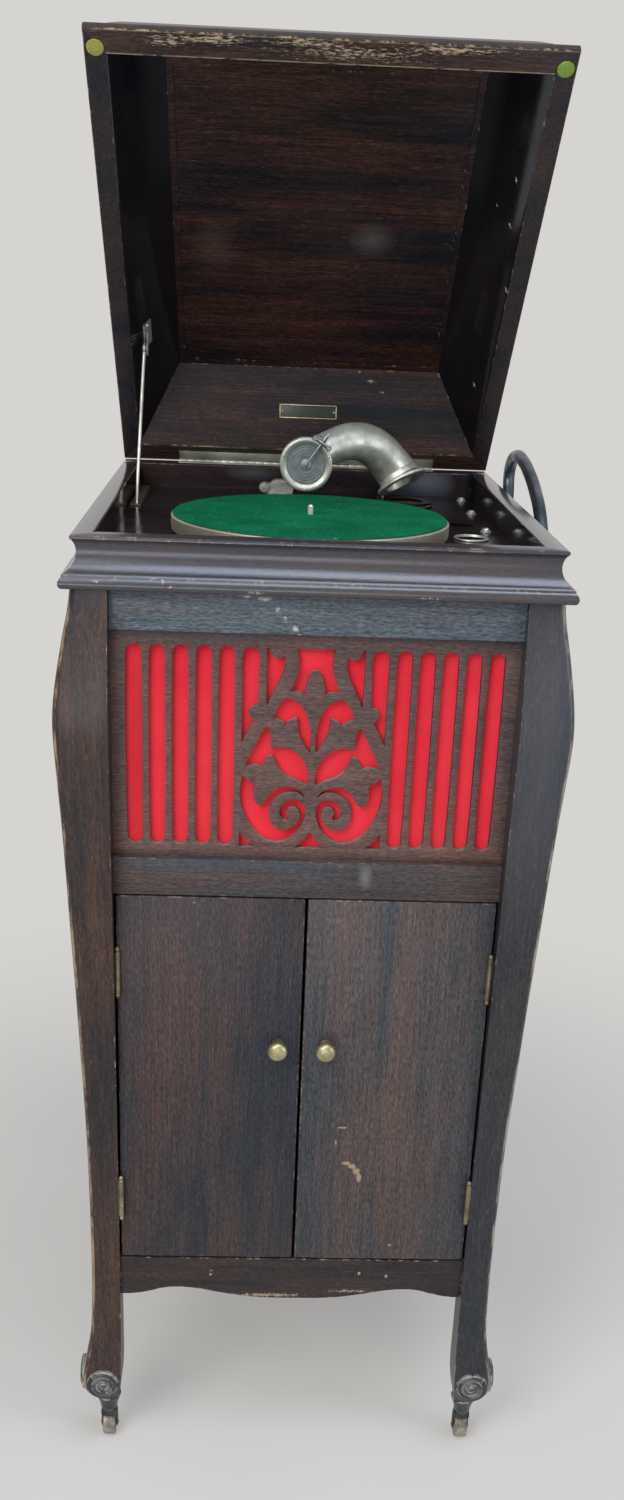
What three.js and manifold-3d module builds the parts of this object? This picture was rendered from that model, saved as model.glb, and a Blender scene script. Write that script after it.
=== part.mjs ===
// Floor-standing gramophone cabinet with an open lid, a fretted sound grille
// and a two-door record cupboard. Millimetres, +Z up, the front faces -Y.
import * as THREE from 'three';
import { mergeVertices } from 'three/addons/utils/BufferGeometryUtils.js';
import Module from 'manifold-3d';

const wasm = await Module();
wasm.setup();

// ---------------------------------------------------------------- driving sizes
const RIM_W = 478;             // outside width of the top rim
const RIM_D = 586;             // outside depth of the top rim
const RIM_WALL_SIDE = 21;      // width of the rim's side members
const RIM_WALL_FRONT = 25;
const RIM_WALL_REAR = 27;
const MOULDING_H = 49.5;       // height of the cove-and-bead moulding
const WELL_DEPTH = 30;         // rim top down to the motor board
const BOARD_T = 12;            // motor board thickness
const BOARD_LEDGE = 12;        // ledge that carries the motor board
const BOARD_SEAM_Y = 92;       // joint between motor board and rear board
const FIT = 0.3;               // running or laying gap between separate pieces

const POST_IN = 35;            // inner arris of a post, inside the rim's outside
const POST_ARRIS = 8;          // rounding of the outer arris
const POST_FOOT_Z = 64;        // underside of the scroll foot
const SCROLL_Z = 103;          // centre height of the foot scroll
const SCROLL_R = 14.5;

const FRONT_SET = 5;           // rails and doors lie this far behind the rim's face
const RAIL_T = 20;
const UPPER_RAIL_H = 40.5;
const GRILLE_H = 239;
const MIDDLE_RAIL_H = 41.5;
const DOOR_OPENING_H = 467.5;
const APRON_H = 53;            // at the posts
const APRON_FLOOR = 229;       // floor to the apron's ends
const ARCH_RISE = 10.5;        // the sawn arches stand this far above the apron's ends
const ARCH_IN = 69;            // top of the front arch to the post
const SIDE_ARCH_IN = 108;
const CENTRE_DROP = 4;         // the apron's middle hangs this far below its ends
const GRILLE_SET = 13;         // face of the fret behind the rim's face
const GRILLE_T = 7;
const CLOTH_T = 1.5;

const PANEL_T = 14;            // side and back panels
const PANEL_SET = 4;
const DECK_T = 12;
const SHELF_T = 10;
const SHELF_DROP = 229.5;      // top of the record shelf, below the middle rail

const DOOR_T = 20;
const DOOR_GAP = 1.5;
const DOOR_HANG_GAP = 2;
const KNOB_X = 26.5;
const KNOB_DROP = 177.5;       // below the middle rail
const KNOB_R = 10.5;
const HINGE_R = 2.9;
const HINGE_LEN = 48;
const HINGE_AXIS_IN = 3.3;      // hinge axis inside the post's inner face
const HINGE_AXIS_OUT = 3.6;    // hinge axis in front of the door face
const HINGE_DROP = 90.5;       // upper hinge below the middle rail
const HINGE_LIFT = 86;         // lower hinge above the apron

const LID_OPEN = 48.5;         // degrees, held by the stay
const LID_GAP = 0.75;          // rim and lid each stand this far off the hinge axis
const LID_INNER_DEPTH = 84;
const LID_TOP_T = 9;
const LID_SIDE_RUN = 51;       // run of the inner side slopes
const LID_FRONT_RUN = 59;
const LID_REAR_RUN = 60;
const BUFFER_R = 8.5;
const PIANO_HINGE_L = 334;
const PIANO_KNUCKLE_R = 2.7;
const PIANO_REBATE = 3.3;
const PLATE_W = 76;
const PLATE_H = 19;

const PLATTER_X = -4;
const PLATTER_Y = -64;
const PLATTER_R = 152.5;
const PLATTER_H = 12;
const FELT_R = 150;
const FELT_T = 2;
const FELT_TOP = 8;            // felt below the rim top
const SPINDLE_R = 3.1;
const SPINDLE_RISE = 10;

const CRANK_Y = -31;           // winding shaft
const CRANK_DROP = 92;         // shaft below the rim top
const CRANK_STAND = 30.5;      // plane of the curved crank arm, outside the rim
const CRANK_BAR_R = 7.6;
const SHAFT_R = 6;
const CRANK_REACH = 299;       // shaft to grip pin, towards the rear
const GRIP_RISE = 8;

const CASTER_IN = 17;          // swivel axis inside the rim's outside
const WHEEL_R = 15;
const WHEEL_W = 15;
const WHEEL_TRAIL = 4;

const SOUNDBOX_XY = [-6, 99];
const SOUNDBOX_RISE = 25;      // centre above the rim top
const SOUNDBOX_R = 31.5;
const ARM_TILT = 33.9;         // degrees, the arm is photographed lifted off its seat
const ARM_SEAT_XY = [123.4, 178.4];
const ARM_SEAT_H = 6;          // seat above the board
const FLANGE_R = 33;
const ARM_HINGE_R = 36;        // seat centre to the lift hinge
const ARM_HINGE_DIR = Math.atan2(-0.806, -0.591); // bearing of the lift hinge pin

// ---------------------------------------------------------------- materials
const mat = (color, roughness, metalness = 0) =>
  new THREE.MeshStandardMaterial({ color, roughness, metalness });
const WOOD = mat('#2f2523', 0.35);
const WOOD_LID = mat('#3d2521', 0.4);
const WOOD_IN = mat('#5a4435', 0.75);
const BOARD = mat('#17161b', 0.2);
const NICKEL = mat('#8c9089', 0.4, 0.9);
const STEEL = mat('#7b8088', 0.35, 0.9);
const BRASS = mat('#8b855c', 0.45, 0.9);
const IRON = mat('#3a3b3d', 0.6, 0.6);
const FELT = mat('#15613f', 0.95);
const BUFFER = mat('#b9bd55', 0.95);
const CLOTH = mat('#e8203a', 0.9);
const PLATE = mat('#2a3028', 0.4, 0.3);

// ---------------------------------------------------------------- geometry helpers
const V = (x, y, z) => new THREE.Vector3(x, y, z);
const AXES_YZX = new THREE.Matrix4().makeBasis(V(0, 1, 0), V(0, 0, 1), V(1, 0, 0));

// one indexed, closed, outward-facing mesh with positions only
function clean(geometry) {
  let g = geometry.clone();
  g.deleteAttribute('normal');
  g.deleteAttribute('uv');
  g = mergeVertices(g, 1e-4);
  const p = g.attributes.position;
  const idx = g.index.array;
  const keep = [];
  let volume = 0;
  for (let i = 0; i < idx.length; i += 3) {
    const [a, b, c] = [idx[i], idx[i + 1], idx[i + 2]];
    if (a === b || b === c || a === c) continue;
    keep.push(a, b, c);
    const A = V(p.getX(a), p.getY(a), p.getZ(a));
    const B = V(p.getX(b), p.getY(b), p.getZ(b));
    const C = V(p.getX(c), p.getY(c), p.getZ(c));
    volume += A.dot(B.cross(C));
  }
  if (volume < 0) {
    for (let i = 0; i < keep.length; i += 3) [keep[i + 1], keep[i + 2]] = [keep[i + 2], keep[i + 1]];
  }
  g.setIndex(keep);
  return g;
}

function solid(geometry) {
  const g = clean(geometry);
  return new wasm.Manifold(new wasm.Mesh({
    numProp: 3,
    vertProperties: new Float32Array(g.attributes.position.array),
    triVerts: new Uint32Array(g.index.array),
  }));
}

function shell(manifold) {
  const m = manifold.getMesh();
  const g = new THREE.BufferGeometry();
  g.setAttribute('position', new THREE.BufferAttribute(new Float32Array(m.vertProperties), 3));
  g.setIndex(new THREE.BufferAttribute(new Uint32Array(m.triVerts), 1));
  return g;
}

const join = (...gs) => shell(gs.map(solid).reduce((a, b) => a.add(b)));
const cut = (base, ...tools) => shell(tools.map(solid).reduce((a, b) => a.subtract(b), solid(base)));

function polyhedron(rings) {
  // convex rings with the same number of points, closed by fans at both ends
  const n = rings[0].length;
  const pos = rings.flat().flatMap((v) => [v.x, v.y, v.z]);
  const idx = [];
  for (let r = 0; r + 1 < rings.length; r++) {
    for (let i = 0; i < n; i++) {
      const a = r * n + i;
      const b = r * n + ((i + 1) % n);
      idx.push(a, b, b + n, a, b + n, a + n);
    }
  }
  const top = (rings.length - 1) * n;
  for (let i = 1; i + 1 < n; i++) {
    idx.push(0, i + 1, i);
    idx.push(top, top + i, top + i + 1);
  }
  const g = new THREE.BufferGeometry();
  g.setAttribute('position', new THREE.Float32BufferAttribute(pos, 3));
  g.setIndex(idx);
  return g;
}

function box(x0, x1, y0, y1, z0, z1) {
  const g = new THREE.BoxGeometry(x1 - x0, y1 - y0, z1 - z0);
  g.translate((x0 + x1) / 2, (y0 + y1) / 2, (z0 + z1) / 2);
  return g;
}

function cylinder(r, length, axis = 'z', segments = 24, r2 = r) {
  // r at the start, r2 at the end of the stated axis, centred on the origin
  const g = new THREE.CylinderGeometry(r2, r, length, segments);
  if (axis === 'z') g.rotateX(Math.PI / 2);
  if (axis === 'x') g.rotateZ(-Math.PI / 2);
  return g;
}

const at = (g, x, y, z) => g.translate(x, y, z);

function lathe(points, segments = 32, axis = 'z') {
  const g = new THREE.LatheGeometry(points.map(([r, h]) => new THREE.Vector2(r, h)), segments);
  if (axis === 'z') g.rotateX(Math.PI / 2);
  if (axis === 'x') g.rotateZ(-Math.PI / 2);
  return g;
}

function outline(points) {
  return new THREE.Shape(points.map(([a, b]) => new THREE.Vector2(a, b)));
}

function holePath(points) {
  return new THREE.Path(points.map(([a, b]) => new THREE.Vector2(a, b)));
}

// a shape drawn in X and Z, from its front face at y to y + t
function frontPlate(shape, y, t) {
  const g = new THREE.ExtrudeGeometry(shape, { depth: t, bevelEnabled: false, curveSegments: 10 });
  g.rotateX(Math.PI / 2);
  return g.translate(0, y + t, 0);
}

// a shape drawn in Y and Z, from x to x + t
function sidePlate(shape, x, t) {
  const g = new THREE.ExtrudeGeometry(shape, { depth: t, bevelEnabled: false, curveSegments: 10 });
  g.applyMatrix4(AXES_YZX);
  return g.translate(x, 0, 0);
}

function flatPlate(shape, z, t) {
  const g = new THREE.ExtrudeGeometry(shape, { depth: t, bevelEnabled: false, curveSegments: 10 });
  return g.translate(0, 0, z);
}

function gear(teeth, module, thickness, bore) {
  // straight teeth with generous backlash, axis along X, from x = 0
  const pitch = (teeth * module) / 2;
  const pts = [];
  for (let i = 0; i < teeth; i++) {
    const a = (i / teeth) * 2 * Math.PI;
    const root = 0.36 * (2 * Math.PI / teeth) / 2 * 1.5;
    const tip = 0.36 * (2 * Math.PI / teeth) / 2 * 0.75;
    for (const [da, r] of [[-root, pitch - 1.15 * module], [-tip, pitch + 0.8 * module],
      [tip, pitch + 0.8 * module], [root, pitch - 1.15 * module]]) {
      pts.push([r * Math.cos(a + da), r * Math.sin(a + da)]);
    }
  }
  const s = outline(pts);
  if (bore > 0) s.holes.push(new THREE.Path().absarc(0, 0, bore, 0, 2 * Math.PI, true));
  return sidePlate(s, 0, thickness);
}

const group = new THREE.Group();
group.name = 'gramophone_cabinet';
const mesh = (name, geometry, material, parent = group) => {
  const m = new THREE.Mesh(clean(geometry), material);
  m.name = name;
  parent.add(m);
  return m;
};

// ---------------------------------------------------------------- derived planes
const X_OUT = RIM_W / 2;
const Y_OUT = RIM_D / 2;
// depths below the rim top, stacked down the front
const GRILLE_TOP = MOULDING_H + UPPER_RAIL_H;
const GRILLE_BOTTOM = GRILLE_TOP + GRILLE_H;
const MIDDLE_RAIL_BOTTOM = GRILLE_BOTTOM + MIDDLE_RAIL_H;
const DOOR_BOTTOM = MIDDLE_RAIL_BOTTOM + DOOR_OPENING_H;
const APRON_END = DOOR_BOTTOM + APRON_H;
const APRON_ARCH = APRON_END - ARCH_RISE;
const APRON_CENTRE = APRON_END + CENTRE_DROP;
const SHELF_TOP = MIDDLE_RAIL_BOTTOM + SHELF_DROP;
const RIM_Z = APRON_END + APRON_FLOOR;
const zr = (below) => RIM_Z - below;
const POST_X = X_OUT - POST_IN;
const POST_Y = Y_OUT - POST_IN;
const FACE_Y = -Y_OUT + FRONT_SET;
const WELL_X = X_OUT - RIM_WALL_SIDE;
const WELL_FRONT = -Y_OUT + RIM_WALL_FRONT;
const WELL_REAR = Y_OUT - RIM_WALL_REAR;
const INNER_Y0 = FACE_Y + RAIL_T;
const BOARD_TOP = zr(WELL_DEPTH);
const BOARD_UNDER = BOARD_TOP - BOARD_T;
const PANEL_X = X_OUT - PANEL_SET - PANEL_T;
const HINGE_AXIS_X = POST_X - HINGE_AXIS_IN;
const CRANK_Z = RIM_Z - CRANK_DROP;
const CRANK_PLANE_X = X_OUT + CRANK_STAND;
const GRIP_Y = CRANK_Y + CRANK_REACH;
const GRIP_Z = CRANK_Z + GRIP_RISE;
const SOUNDBOX = { x: SOUNDBOX_XY[0], y: SOUNDBOX_XY[1], z: RIM_Z + SOUNDBOX_RISE, r: SOUNDBOX_R };
const ARM_SEAT = { x: ARM_SEAT_XY[0], y: ARM_SEAT_XY[1], z: BOARD_TOP + ARM_SEAT_H };
// lid stay: its foot hole in the rear board, and its eye in the lid's own frame
const STAY_FOOT = V(-WELL_X + 9, BOARD_SEAM_Y + 20, BOARD_TOP);
const STAY_EYE = V(-WELL_X + 15, -183.489, 8.79);
const STAY_TOP = STAY_EYE.clone().applyAxisAngle(V(1, 0, 0), -LID_OPEN * Math.PI / 180)
  .add(V(0, Y_OUT, RIM_Z + LID_GAP));

// ---------------------------------------------------------------- rim and moulding
// offset outwards from the rim's outside, and depth below the rim top
const MOULDING = [[-1.5, 0], [0, 1.2], [0, 3], [-3.5, 7], [-5.5, 14], [-4.5, 22], [0, 29.5], [5, 34],
  [8, 36.5], [8, 38.5], [10.6, 41], [11.3, 44], [10.6, 47], [8.5, 49.5]];
const rectRing = (x0, x1, y0, y1, z) => [V(x0, y0, z), V(x1, y0, z), V(x1, y1, z), V(x0, y1, z)];
const MOULDING_DRAWN = 49.5;   // height that the profile is drawn for
const rim = polyhedron(MOULDING.map(([o, d]) =>
  rectRing(-X_OUT - o, X_OUT + o, -Y_OUT - o, Y_OUT + o, zr(d * MOULDING_H / MOULDING_DRAWN))));
mesh('rim_moulding', cut(rim,
  box(-WELL_X, WELL_X, WELL_FRONT, WELL_REAR, BOARD_UNDER, RIM_Z + 5),
  box(-WELL_X + BOARD_LEDGE, WELL_X - BOARD_LEDGE, WELL_FRONT + BOARD_LEDGE, WELL_REAR - BOARD_LEDGE,
    zr(MOULDING_H) - 5, BOARD_UNDER + 5),
  box(-PIANO_HINGE_L / 2 - 1, PIANO_HINGE_L / 2 + 1, Y_OUT - PIANO_REBATE, Y_OUT + 5, RIM_Z - PIANO_REBATE, RIM_Z + 5),
  box(-WELL_X, -WELL_X + BOARD_LEDGE + 1, STAY_FOOT.y - 15, STAY_FOOT.y + 4, zr(MOULDING_H) - 5, BOARD_UNDER + 5)), WOOD);

// ---------------------------------------------------------------- bombe posts with scroll feet
// outward offset of both outer faces: the body by its depth below the rim top, the
// foot by its height above the post's underside
const POST_END = RIM_Z - POST_FOOT_Z;
const POST_BODY = [[MOULDING_H, 1.5], [70, 4], [95, 9], [116, 12.7], [145, 17.3], [170, 19.8], [190, 20.2],
  [212, 19.3], [285, 15.2], [418, 9.8], [550, 4.6], [620, 2], [684, 0.2], [841, -1.2]];
const POST_FOOT = [[119, 0.8], [94, 3.5], [67, 8], [52, 10.8], [40, 11.6], [28, 10], [16, 5], [0, -6]];
const fromFoot = ([h, v]) => [POST_END - h, v];
const POST_PROFILE = [...POST_BODY, ...POST_FOOT.map(fromFoot)];
const FOOT_DRAW = [[56, 0], [40, 0.5], [28, 1.5], [16, 3], [6, 5], [0, 7]].map(fromFoot);
const drawIn = (d) => {
  if (d <= FOOT_DRAW[0][0]) return 0;
  for (let i = 0; i + 1 < FOOT_DRAW.length; i++) {
    const [d0, v0] = FOOT_DRAW[i];
    const [d1, v1] = FOOT_DRAW[i + 1];
    if (d <= d1) return v0 + (v1 - v0) * (d - d0) / (d1 - d0);
  }
  return FOOT_DRAW[FOOT_DRAW.length - 1][1];
};
function postGeometry() {
  const rings = POST_PROFILE.map(([d, o]) => {
    const x0 = POST_X + drawIn(d);
    const y0 = POST_Y + drawIn(d);
    const x1 = X_OUT + o;
    const y1 = Y_OUT + o;
    const r = POST_ARRIS;
    const arc = [0, 45, 90].map((a) => {
      const t = a * Math.PI / 180;
      return V(x1 - r + r * Math.cos(t), y1 - r + r * Math.sin(t), zr(d));
    });
    return [V(x0, y0, zr(d)), V(x1, y0, zr(d)), ...arc, V(x0, y1, zr(d))];
  });
  const scroll = (axis) => {
    const deep = 13;
    const c = cylinder(SCROLL_R, deep, axis, 16);
    const face = 14;            // the scroll stands this far outside the rim's face
    const inset = 17;           // scroll centre from the rim's outside
    return axis === 'y'
      ? at(c, X_OUT - inset, Y_OUT + face - deep / 2, SCROLL_Z)
      : at(c, X_OUT + face - deep / 2, Y_OUT - inset, SCROLL_Z);
  };
  return join(polyhedron(rings), scroll('y'), scroll('x'));
}
const post = postGeometry();
for (const [name, sx, sy] of [['front_left_post', -1, -1], ['front_right_post', 1, -1],
  ['rear_left_post', -1, 1], ['rear_right_post', 1, 1]]) {
  mesh(name, post.clone().scale(sx, sy, 1), WOOD);
}

// ---------------------------------------------------------------- rails, panels, decks
mesh('upper_rail', box(-POST_X, POST_X, FACE_Y, FACE_Y + RAIL_T, zr(GRILLE_TOP), zr(MOULDING_H)), WOOD);
mesh('middle_rail', box(-POST_X, POST_X, FACE_Y, FACE_Y + RAIL_T, zr(MIDDLE_RAIL_BOTTOM), zr(GRILLE_BOTTOM)), WOOD);

const archX = POST_X - ARCH_IN;
const apron = new THREE.Shape();
apron.moveTo(-POST_X, zr(DOOR_BOTTOM));
apron.lineTo(-POST_X, zr(APRON_END));
apron.bezierCurveTo(-archX - 34, zr(APRON_END), -archX - 35, zr(APRON_ARCH), -archX, zr(APRON_ARCH));
apron.bezierCurveTo(-archX + 45, zr(APRON_ARCH), -archX + 80, zr(APRON_CENTRE), 0, zr(APRON_CENTRE));
apron.bezierCurveTo(archX - 80, zr(APRON_CENTRE), archX - 45, zr(APRON_ARCH), archX, zr(APRON_ARCH));
apron.bezierCurveTo(archX + 35, zr(APRON_ARCH), archX + 34, zr(APRON_END), POST_X, zr(APRON_END));
apron.lineTo(POST_X, zr(DOOR_BOTTOM));
mesh('front_apron', frontPlate(apron, FACE_Y, RAIL_T), WOOD);

const sideArchY = POST_Y - SIDE_ARCH_IN;
const sidePanel = (holeR) => {
  const s = new THREE.Shape();
  s.moveTo(-POST_Y, zr(MOULDING_H));
  s.lineTo(-POST_Y, zr(APRON_END));
  s.bezierCurveTo(-sideArchY - 63, zr(APRON_END), -sideArchY - 50, zr(APRON_ARCH), -sideArchY, zr(APRON_ARCH));
  s.bezierCurveTo(-sideArchY + 50, zr(APRON_ARCH), -sideArchY + 90, zr(APRON_CENTRE), 0, zr(APRON_CENTRE));
  s.bezierCurveTo(sideArchY - 90, zr(APRON_CENTRE), sideArchY - 50, zr(APRON_ARCH), sideArchY, zr(APRON_ARCH));
  s.bezierCurveTo(sideArchY + 50, zr(APRON_ARCH), sideArchY + 63, zr(APRON_END), POST_Y, zr(APRON_END));
  s.lineTo(POST_Y, zr(MOULDING_H));
  if (holeR > 0) s.holes.push(new THREE.Path().absarc(CRANK_Y, CRANK_Z, holeR, 0, 2 * Math.PI, true));
  return s;
};
mesh('left_side_panel', sidePlate(sidePanel(0), -PANEL_X - PANEL_T, PANEL_T), WOOD);
mesh('right_side_panel', sidePlate(sidePanel(SHAFT_R + FIT), PANEL_X, PANEL_T), WOOD);
mesh('back_panel', box(-POST_X, POST_X, Y_OUT - PANEL_SET - PANEL_T, Y_OUT - PANEL_SET,
  zr(APRON_END), zr(MOULDING_H)), WOOD_IN);

const INNER_Y1 = Y_OUT - PANEL_SET - PANEL_T;
const HORN_DECK_TOP = GRILLE_BOTTOM + 2;
const cornerCut = (z0, z1) => [-1, 1].flatMap((sx) => [-1, 1].map((sy) => box(
  sx > 0 ? POST_X - FIT : -PANEL_X - 5, sx > 0 ? PANEL_X + 5 : -POST_X + FIT,
  sy > 0 ? POST_Y - FIT : -Y_OUT - 5, sy > 0 ? Y_OUT + 5 : -POST_Y + FIT, z0 - 5, z1 + 5)));
const deck = (topBelow, t, y0 = INNER_Y0) => cut(
  box(-PANEL_X, PANEL_X, y0, INNER_Y1, zr(topBelow) - t, zr(topBelow)),
  ...cornerCut(zr(topBelow) - t, zr(topBelow)));
mesh('horn_deck', deck(HORN_DECK_TOP, DECK_T), WOOD_IN);
mesh('record_shelf', deck(SHELF_TOP, SHELF_T, INNER_Y0 + 40), WOOD_IN);
mesh('cupboard_floor', deck(DOOR_BOTTOM + 1, DECK_T), WOOD_IN);

// ---------------------------------------------------------------- fretted grille and its cloth
// openings of the right half as drawn, x and depth below the rim top; the left half
// mirrors them, and the drawing stretches with the grille's opening
const DRAWN = { half: 204, top: 90, height: 239 };
const drawnX = (x) => x * POST_X / DRAWN.half;
const drawnDepth = (d) => GRILLE_TOP + (d - DRAWN.top) * GRILLE_H / DRAWN.height;
const FRET_HALF = [
  [[31, 113], [37, 115.5], [42, 114], [45, 110], [46.5, 105.5], [49, 105.5], [49, 130], [48.6, 150], [48, 165],
    [44, 155], [38, 143], [33, 131], [30.5, 122]],
  [[3, 213], [2.3, 205], [2.6, 193], [5, 180], [9, 170], [15, 162], [22, 157.5], [28, 156], [33, 160], [38, 169],
    [42, 177], [37, 178.5], [31, 181.5], [28, 184.5], [26, 181], [22, 178.5], [17, 176.5], [16.5, 183],
    [15.5, 190], [12, 199], [7, 208]],
  [[3.5, 248], [3, 240], [5, 230], [9, 221], [15, 214], [23, 209], [31, 207], [38, 207.5], [42.5, 209.5], [43, 204],
    [43, 199], [44, 192], [47, 185], [52, 192], [58, 205], [64, 217], [69, 229], [63, 228], [57, 227.5],
    [52, 229.5], [48.5, 224], [45, 218], [41, 216], [38.5, 221], [35, 229], [30, 235], [22, 240], [13, 243.5],
    [7, 247]],
  [[71, 238], [73.3, 252], [73, 264], [70, 277], [64, 290], [56, 301], [46, 308.5], [36, 311], [26, 309.5],
    [17, 303.5], [10.5, 295], [7, 286], [5.5, 277], [6.5, 270], [10, 265.5], [16, 263.5], [23, 264.5],
    [29, 268.5], [32, 275], [31.5, 281.5], [28.5, 286], [24, 286.5], [22.5, 282], [25, 277.5], [23.5, 273.5],
    [19.5, 271.5], [15, 272], [12, 275.5], [11, 280], [12.5, 286], [16, 291.5], [22, 295.5], [29, 296.5],
    [36, 294], [41, 287], [42.5, 278], [40.5, 269], [35, 262], [28, 257.5], [20, 256], [12, 257], [6, 262.5],
    [10, 255], [16, 251.5], [24, 249.5], [32, 250.5], [39, 254.5], [44.5, 260.5], [48, 267], [52, 270.5],
    [56, 269], [59, 263], [60, 256], [58.5, 250], [60, 247.5], [66, 243]],
  [[57, 110], [59.5, 106.7], [64.5, 105], [69.5, 106.7], [72, 110], [72.8, 150], [72.8, 204], [69, 196], [64, 187],
    [60.5, 180], [63, 177], [66, 173], [65, 168.5], [61, 165.5], [57, 164.5], [56.5, 140]],
  [[73.5, 299], [73.6, 317.6], [57, 316.4], [66, 309]],
];
const FRET_TOP = [[-20, 105.5], [20, 105.5], [18, 110.5], [17, 118], [16.8, 126], [18.5, 133], [21, 140],
  [24.8, 149.5], [19, 149.3], [14, 150], [10.5, 152.5], [9.5, 145], [8, 138], [5, 131], [2.5, 128], [0, 127],
  [-2.5, 128], [-5, 131], [-8, 138], [-9.5, 145], [-10.5, 152.5], [-14, 150], [-19, 149.3], [-24.8, 149.5],
  [-21, 140], [-18.5, 133], [-16.8, 126], [-17, 118], [-18, 110.5]];
const FRET_FOOT = [[0, 298.5], [7, 308], [16, 317], [-16, 317], [-7, 308]];
const SLOT_X = [88.3, 111.2, 134.6, 157.8, 181];
const SLOT_HALF = 7.7;
const SLOT_TOP = 104.5;
const SLOT_BOTTOM = 316;
const fretShape = outline([[-POST_X, zr(GRILLE_BOTTOM)], [POST_X, zr(GRILLE_BOTTOM)], [POST_X, zr(GRILLE_TOP)],
  [-POST_X, zr(GRILLE_TOP)]]);
const addHole = (pts) => fretShape.holes.push(holePath(pts.map(([x, d]) => [drawnX(x), zr(drawnDepth(d))])));
for (const h of FRET_HALF) {
  addHole(h);
  addHole(h.map(([x, d]) => [-x, d]));
}
addHole(FRET_TOP);
addHole(FRET_FOOT);
for (const cx of SLOT_X.flatMap((x) => [x, -x])) {
  const pts = [];
  for (let i = 0; i <= 6; i++) {
    const a = Math.PI - (i / 6) * Math.PI;
    pts.push([cx + SLOT_HALF * Math.cos(a), SLOT_TOP + SLOT_HALF - SLOT_HALF * Math.sin(a)]);
  }
  for (let i = 0; i <= 6; i++) {
    const a = -(i / 6) * Math.PI;
    pts.push([cx + SLOT_HALF * Math.cos(a), SLOT_BOTTOM - SLOT_HALF - SLOT_HALF * Math.sin(a)]);
  }
  addHole(pts);
}
const FRET_Y = -Y_OUT + GRILLE_SET;
mesh('fret_grille', frontPlate(fretShape, FRET_Y, GRILLE_T), WOOD);
mesh('grille_cloth', box(-POST_X + FIT, POST_X - FIT, FRET_Y + GRILLE_T + FIT, FRET_Y + GRILLE_T + FIT + CLOTH_T,
  zr(GRILLE_BOTTOM) + FIT, zr(GRILLE_TOP) - FIT), CLOTH);

// ---------------------------------------------------------------- motor board and rear board
const CUP = { x: WELL_X - 42, y: -60, r: 19.5, hole: 16.5 };
const SPARE_CUP = { x: WELL_X - 41, y: 36, r: 14 };
const THROAT = { x: ARM_SEAT.x, y: ARM_SEAT.y, r: 21 };
const STAY_R = 2.3;
const STAY_SLOT = { x: 5, y: 12 };
const boardShape = outline([[-WELL_X + FIT, WELL_FRONT + FIT], [WELL_X - FIT, WELL_FRONT + FIT],
  [WELL_X - FIT, BOARD_SEAM_Y], [-WELL_X + FIT, BOARD_SEAM_Y]]);
const disc = (x, y, r) => new THREE.Path().absarc(x, y, r, 0, 2 * Math.PI, true);
boardShape.holes.push(disc(PLATTER_X, PLATTER_Y, 9), disc(CUP.x, CUP.y, CUP.hole),
  disc(SPARE_CUP.x, SPARE_CUP.y, SPARE_CUP.r));
mesh('motor_board', flatPlate(boardShape, BOARD_UNDER, BOARD_T), BOARD);
const rearShape = outline([[-WELL_X + FIT, BOARD_SEAM_Y + FIT], [WELL_X - FIT, BOARD_SEAM_Y + FIT],
  [WELL_X - FIT, WELL_REAR - FIT], [-WELL_X + FIT, WELL_REAR - FIT]]);
rearShape.holes.push(disc(THROAT.x, THROAT.y, THROAT.r + 4),
  holePath([[STAY_FOOT.x - STAY_SLOT.x, STAY_FOOT.y - STAY_SLOT.y], [STAY_FOOT.x - STAY_SLOT.x, STAY_FOOT.y + STAY_SLOT.y / 2],
    [STAY_FOOT.x + STAY_SLOT.x, STAY_FOOT.y + STAY_SLOT.y / 2], [STAY_FOOT.x + STAY_SLOT.x, STAY_FOOT.y - STAY_SLOT.y]]));
mesh('rear_board', flatPlate(rearShape, BOARD_UNDER, BOARD_T), BOARD);
mesh('needle_cup', at(lathe([[0, -9], [11, -8], [15, -4], [16, 0], [CUP.r, 0], [CUP.r, 1.2], [CUP.r - 1.5, 2.6],
  [CUP.r - 3.5, 1.8], [13.5, -3], [10, -6.5], [0, -7.5]], 20), CUP.x, CUP.y, BOARD_TOP), NICKEL);

// ---------------------------------------------------------------- horn behind the grille
const HORN_WALL = 6;
// centre x, half width, top and bottom below the rim, at a given y
const HORN_FLOOR = HORN_DECK_TOP - FIT;
const HORN = [[INNER_Y0 + FIT, 0, POST_X - 14, 95, HORN_FLOOR], [-200, 0, 172, 150, HORN_FLOOR], [-110, 12, 140, 190, 322],
  [0, 50, 100, 196, 304], [90, 96, 58, 190, 280], [150, THROAT.x - 2, 38, 180, 262], [212, THROAT.x, 33, 172, 244]];
const hornRing = (grow, [y, cx, hw, top, bottom]) => [
  V(cx - hw - grow, y, zr(bottom + grow)), V(cx + hw + grow, y, zr(bottom + grow)),
  V(cx + hw + grow, y, zr(top - grow)), V(cx - hw - grow, y, zr(top - grow))];
const hornOuter = polyhedron(HORN.map((s) => hornRing(0, s)));
const hornInner = polyhedron([[HORN[0][0] - 2, ...HORN[0].slice(1)], ...HORN.slice(0, -1),
  [HORN[6][0] - HORN_WALL, ...HORN[6].slice(1)]].map((s) => hornRing(-HORN_WALL, s)));
const neckTop = BOARD_TOP + 2;
const neckLow = zr(186);
const hornNeck = at(cylinder(THROAT.r + 3.5, neckTop - neckLow, 'z', 24), THROAT.x, THROAT.y, (neckTop + neckLow) / 2);
const hornBore = at(cylinder(THROAT.r - 1, neckTop - neckLow + 10, 'z', 24), THROAT.x, THROAT.y, (neckTop + neckLow) / 2);
mesh('sound_horn', shell(solid(hornOuter).add(solid(hornNeck)).subtract(solid(hornInner)).subtract(solid(hornBore))),
  WOOD_IN);

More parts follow.
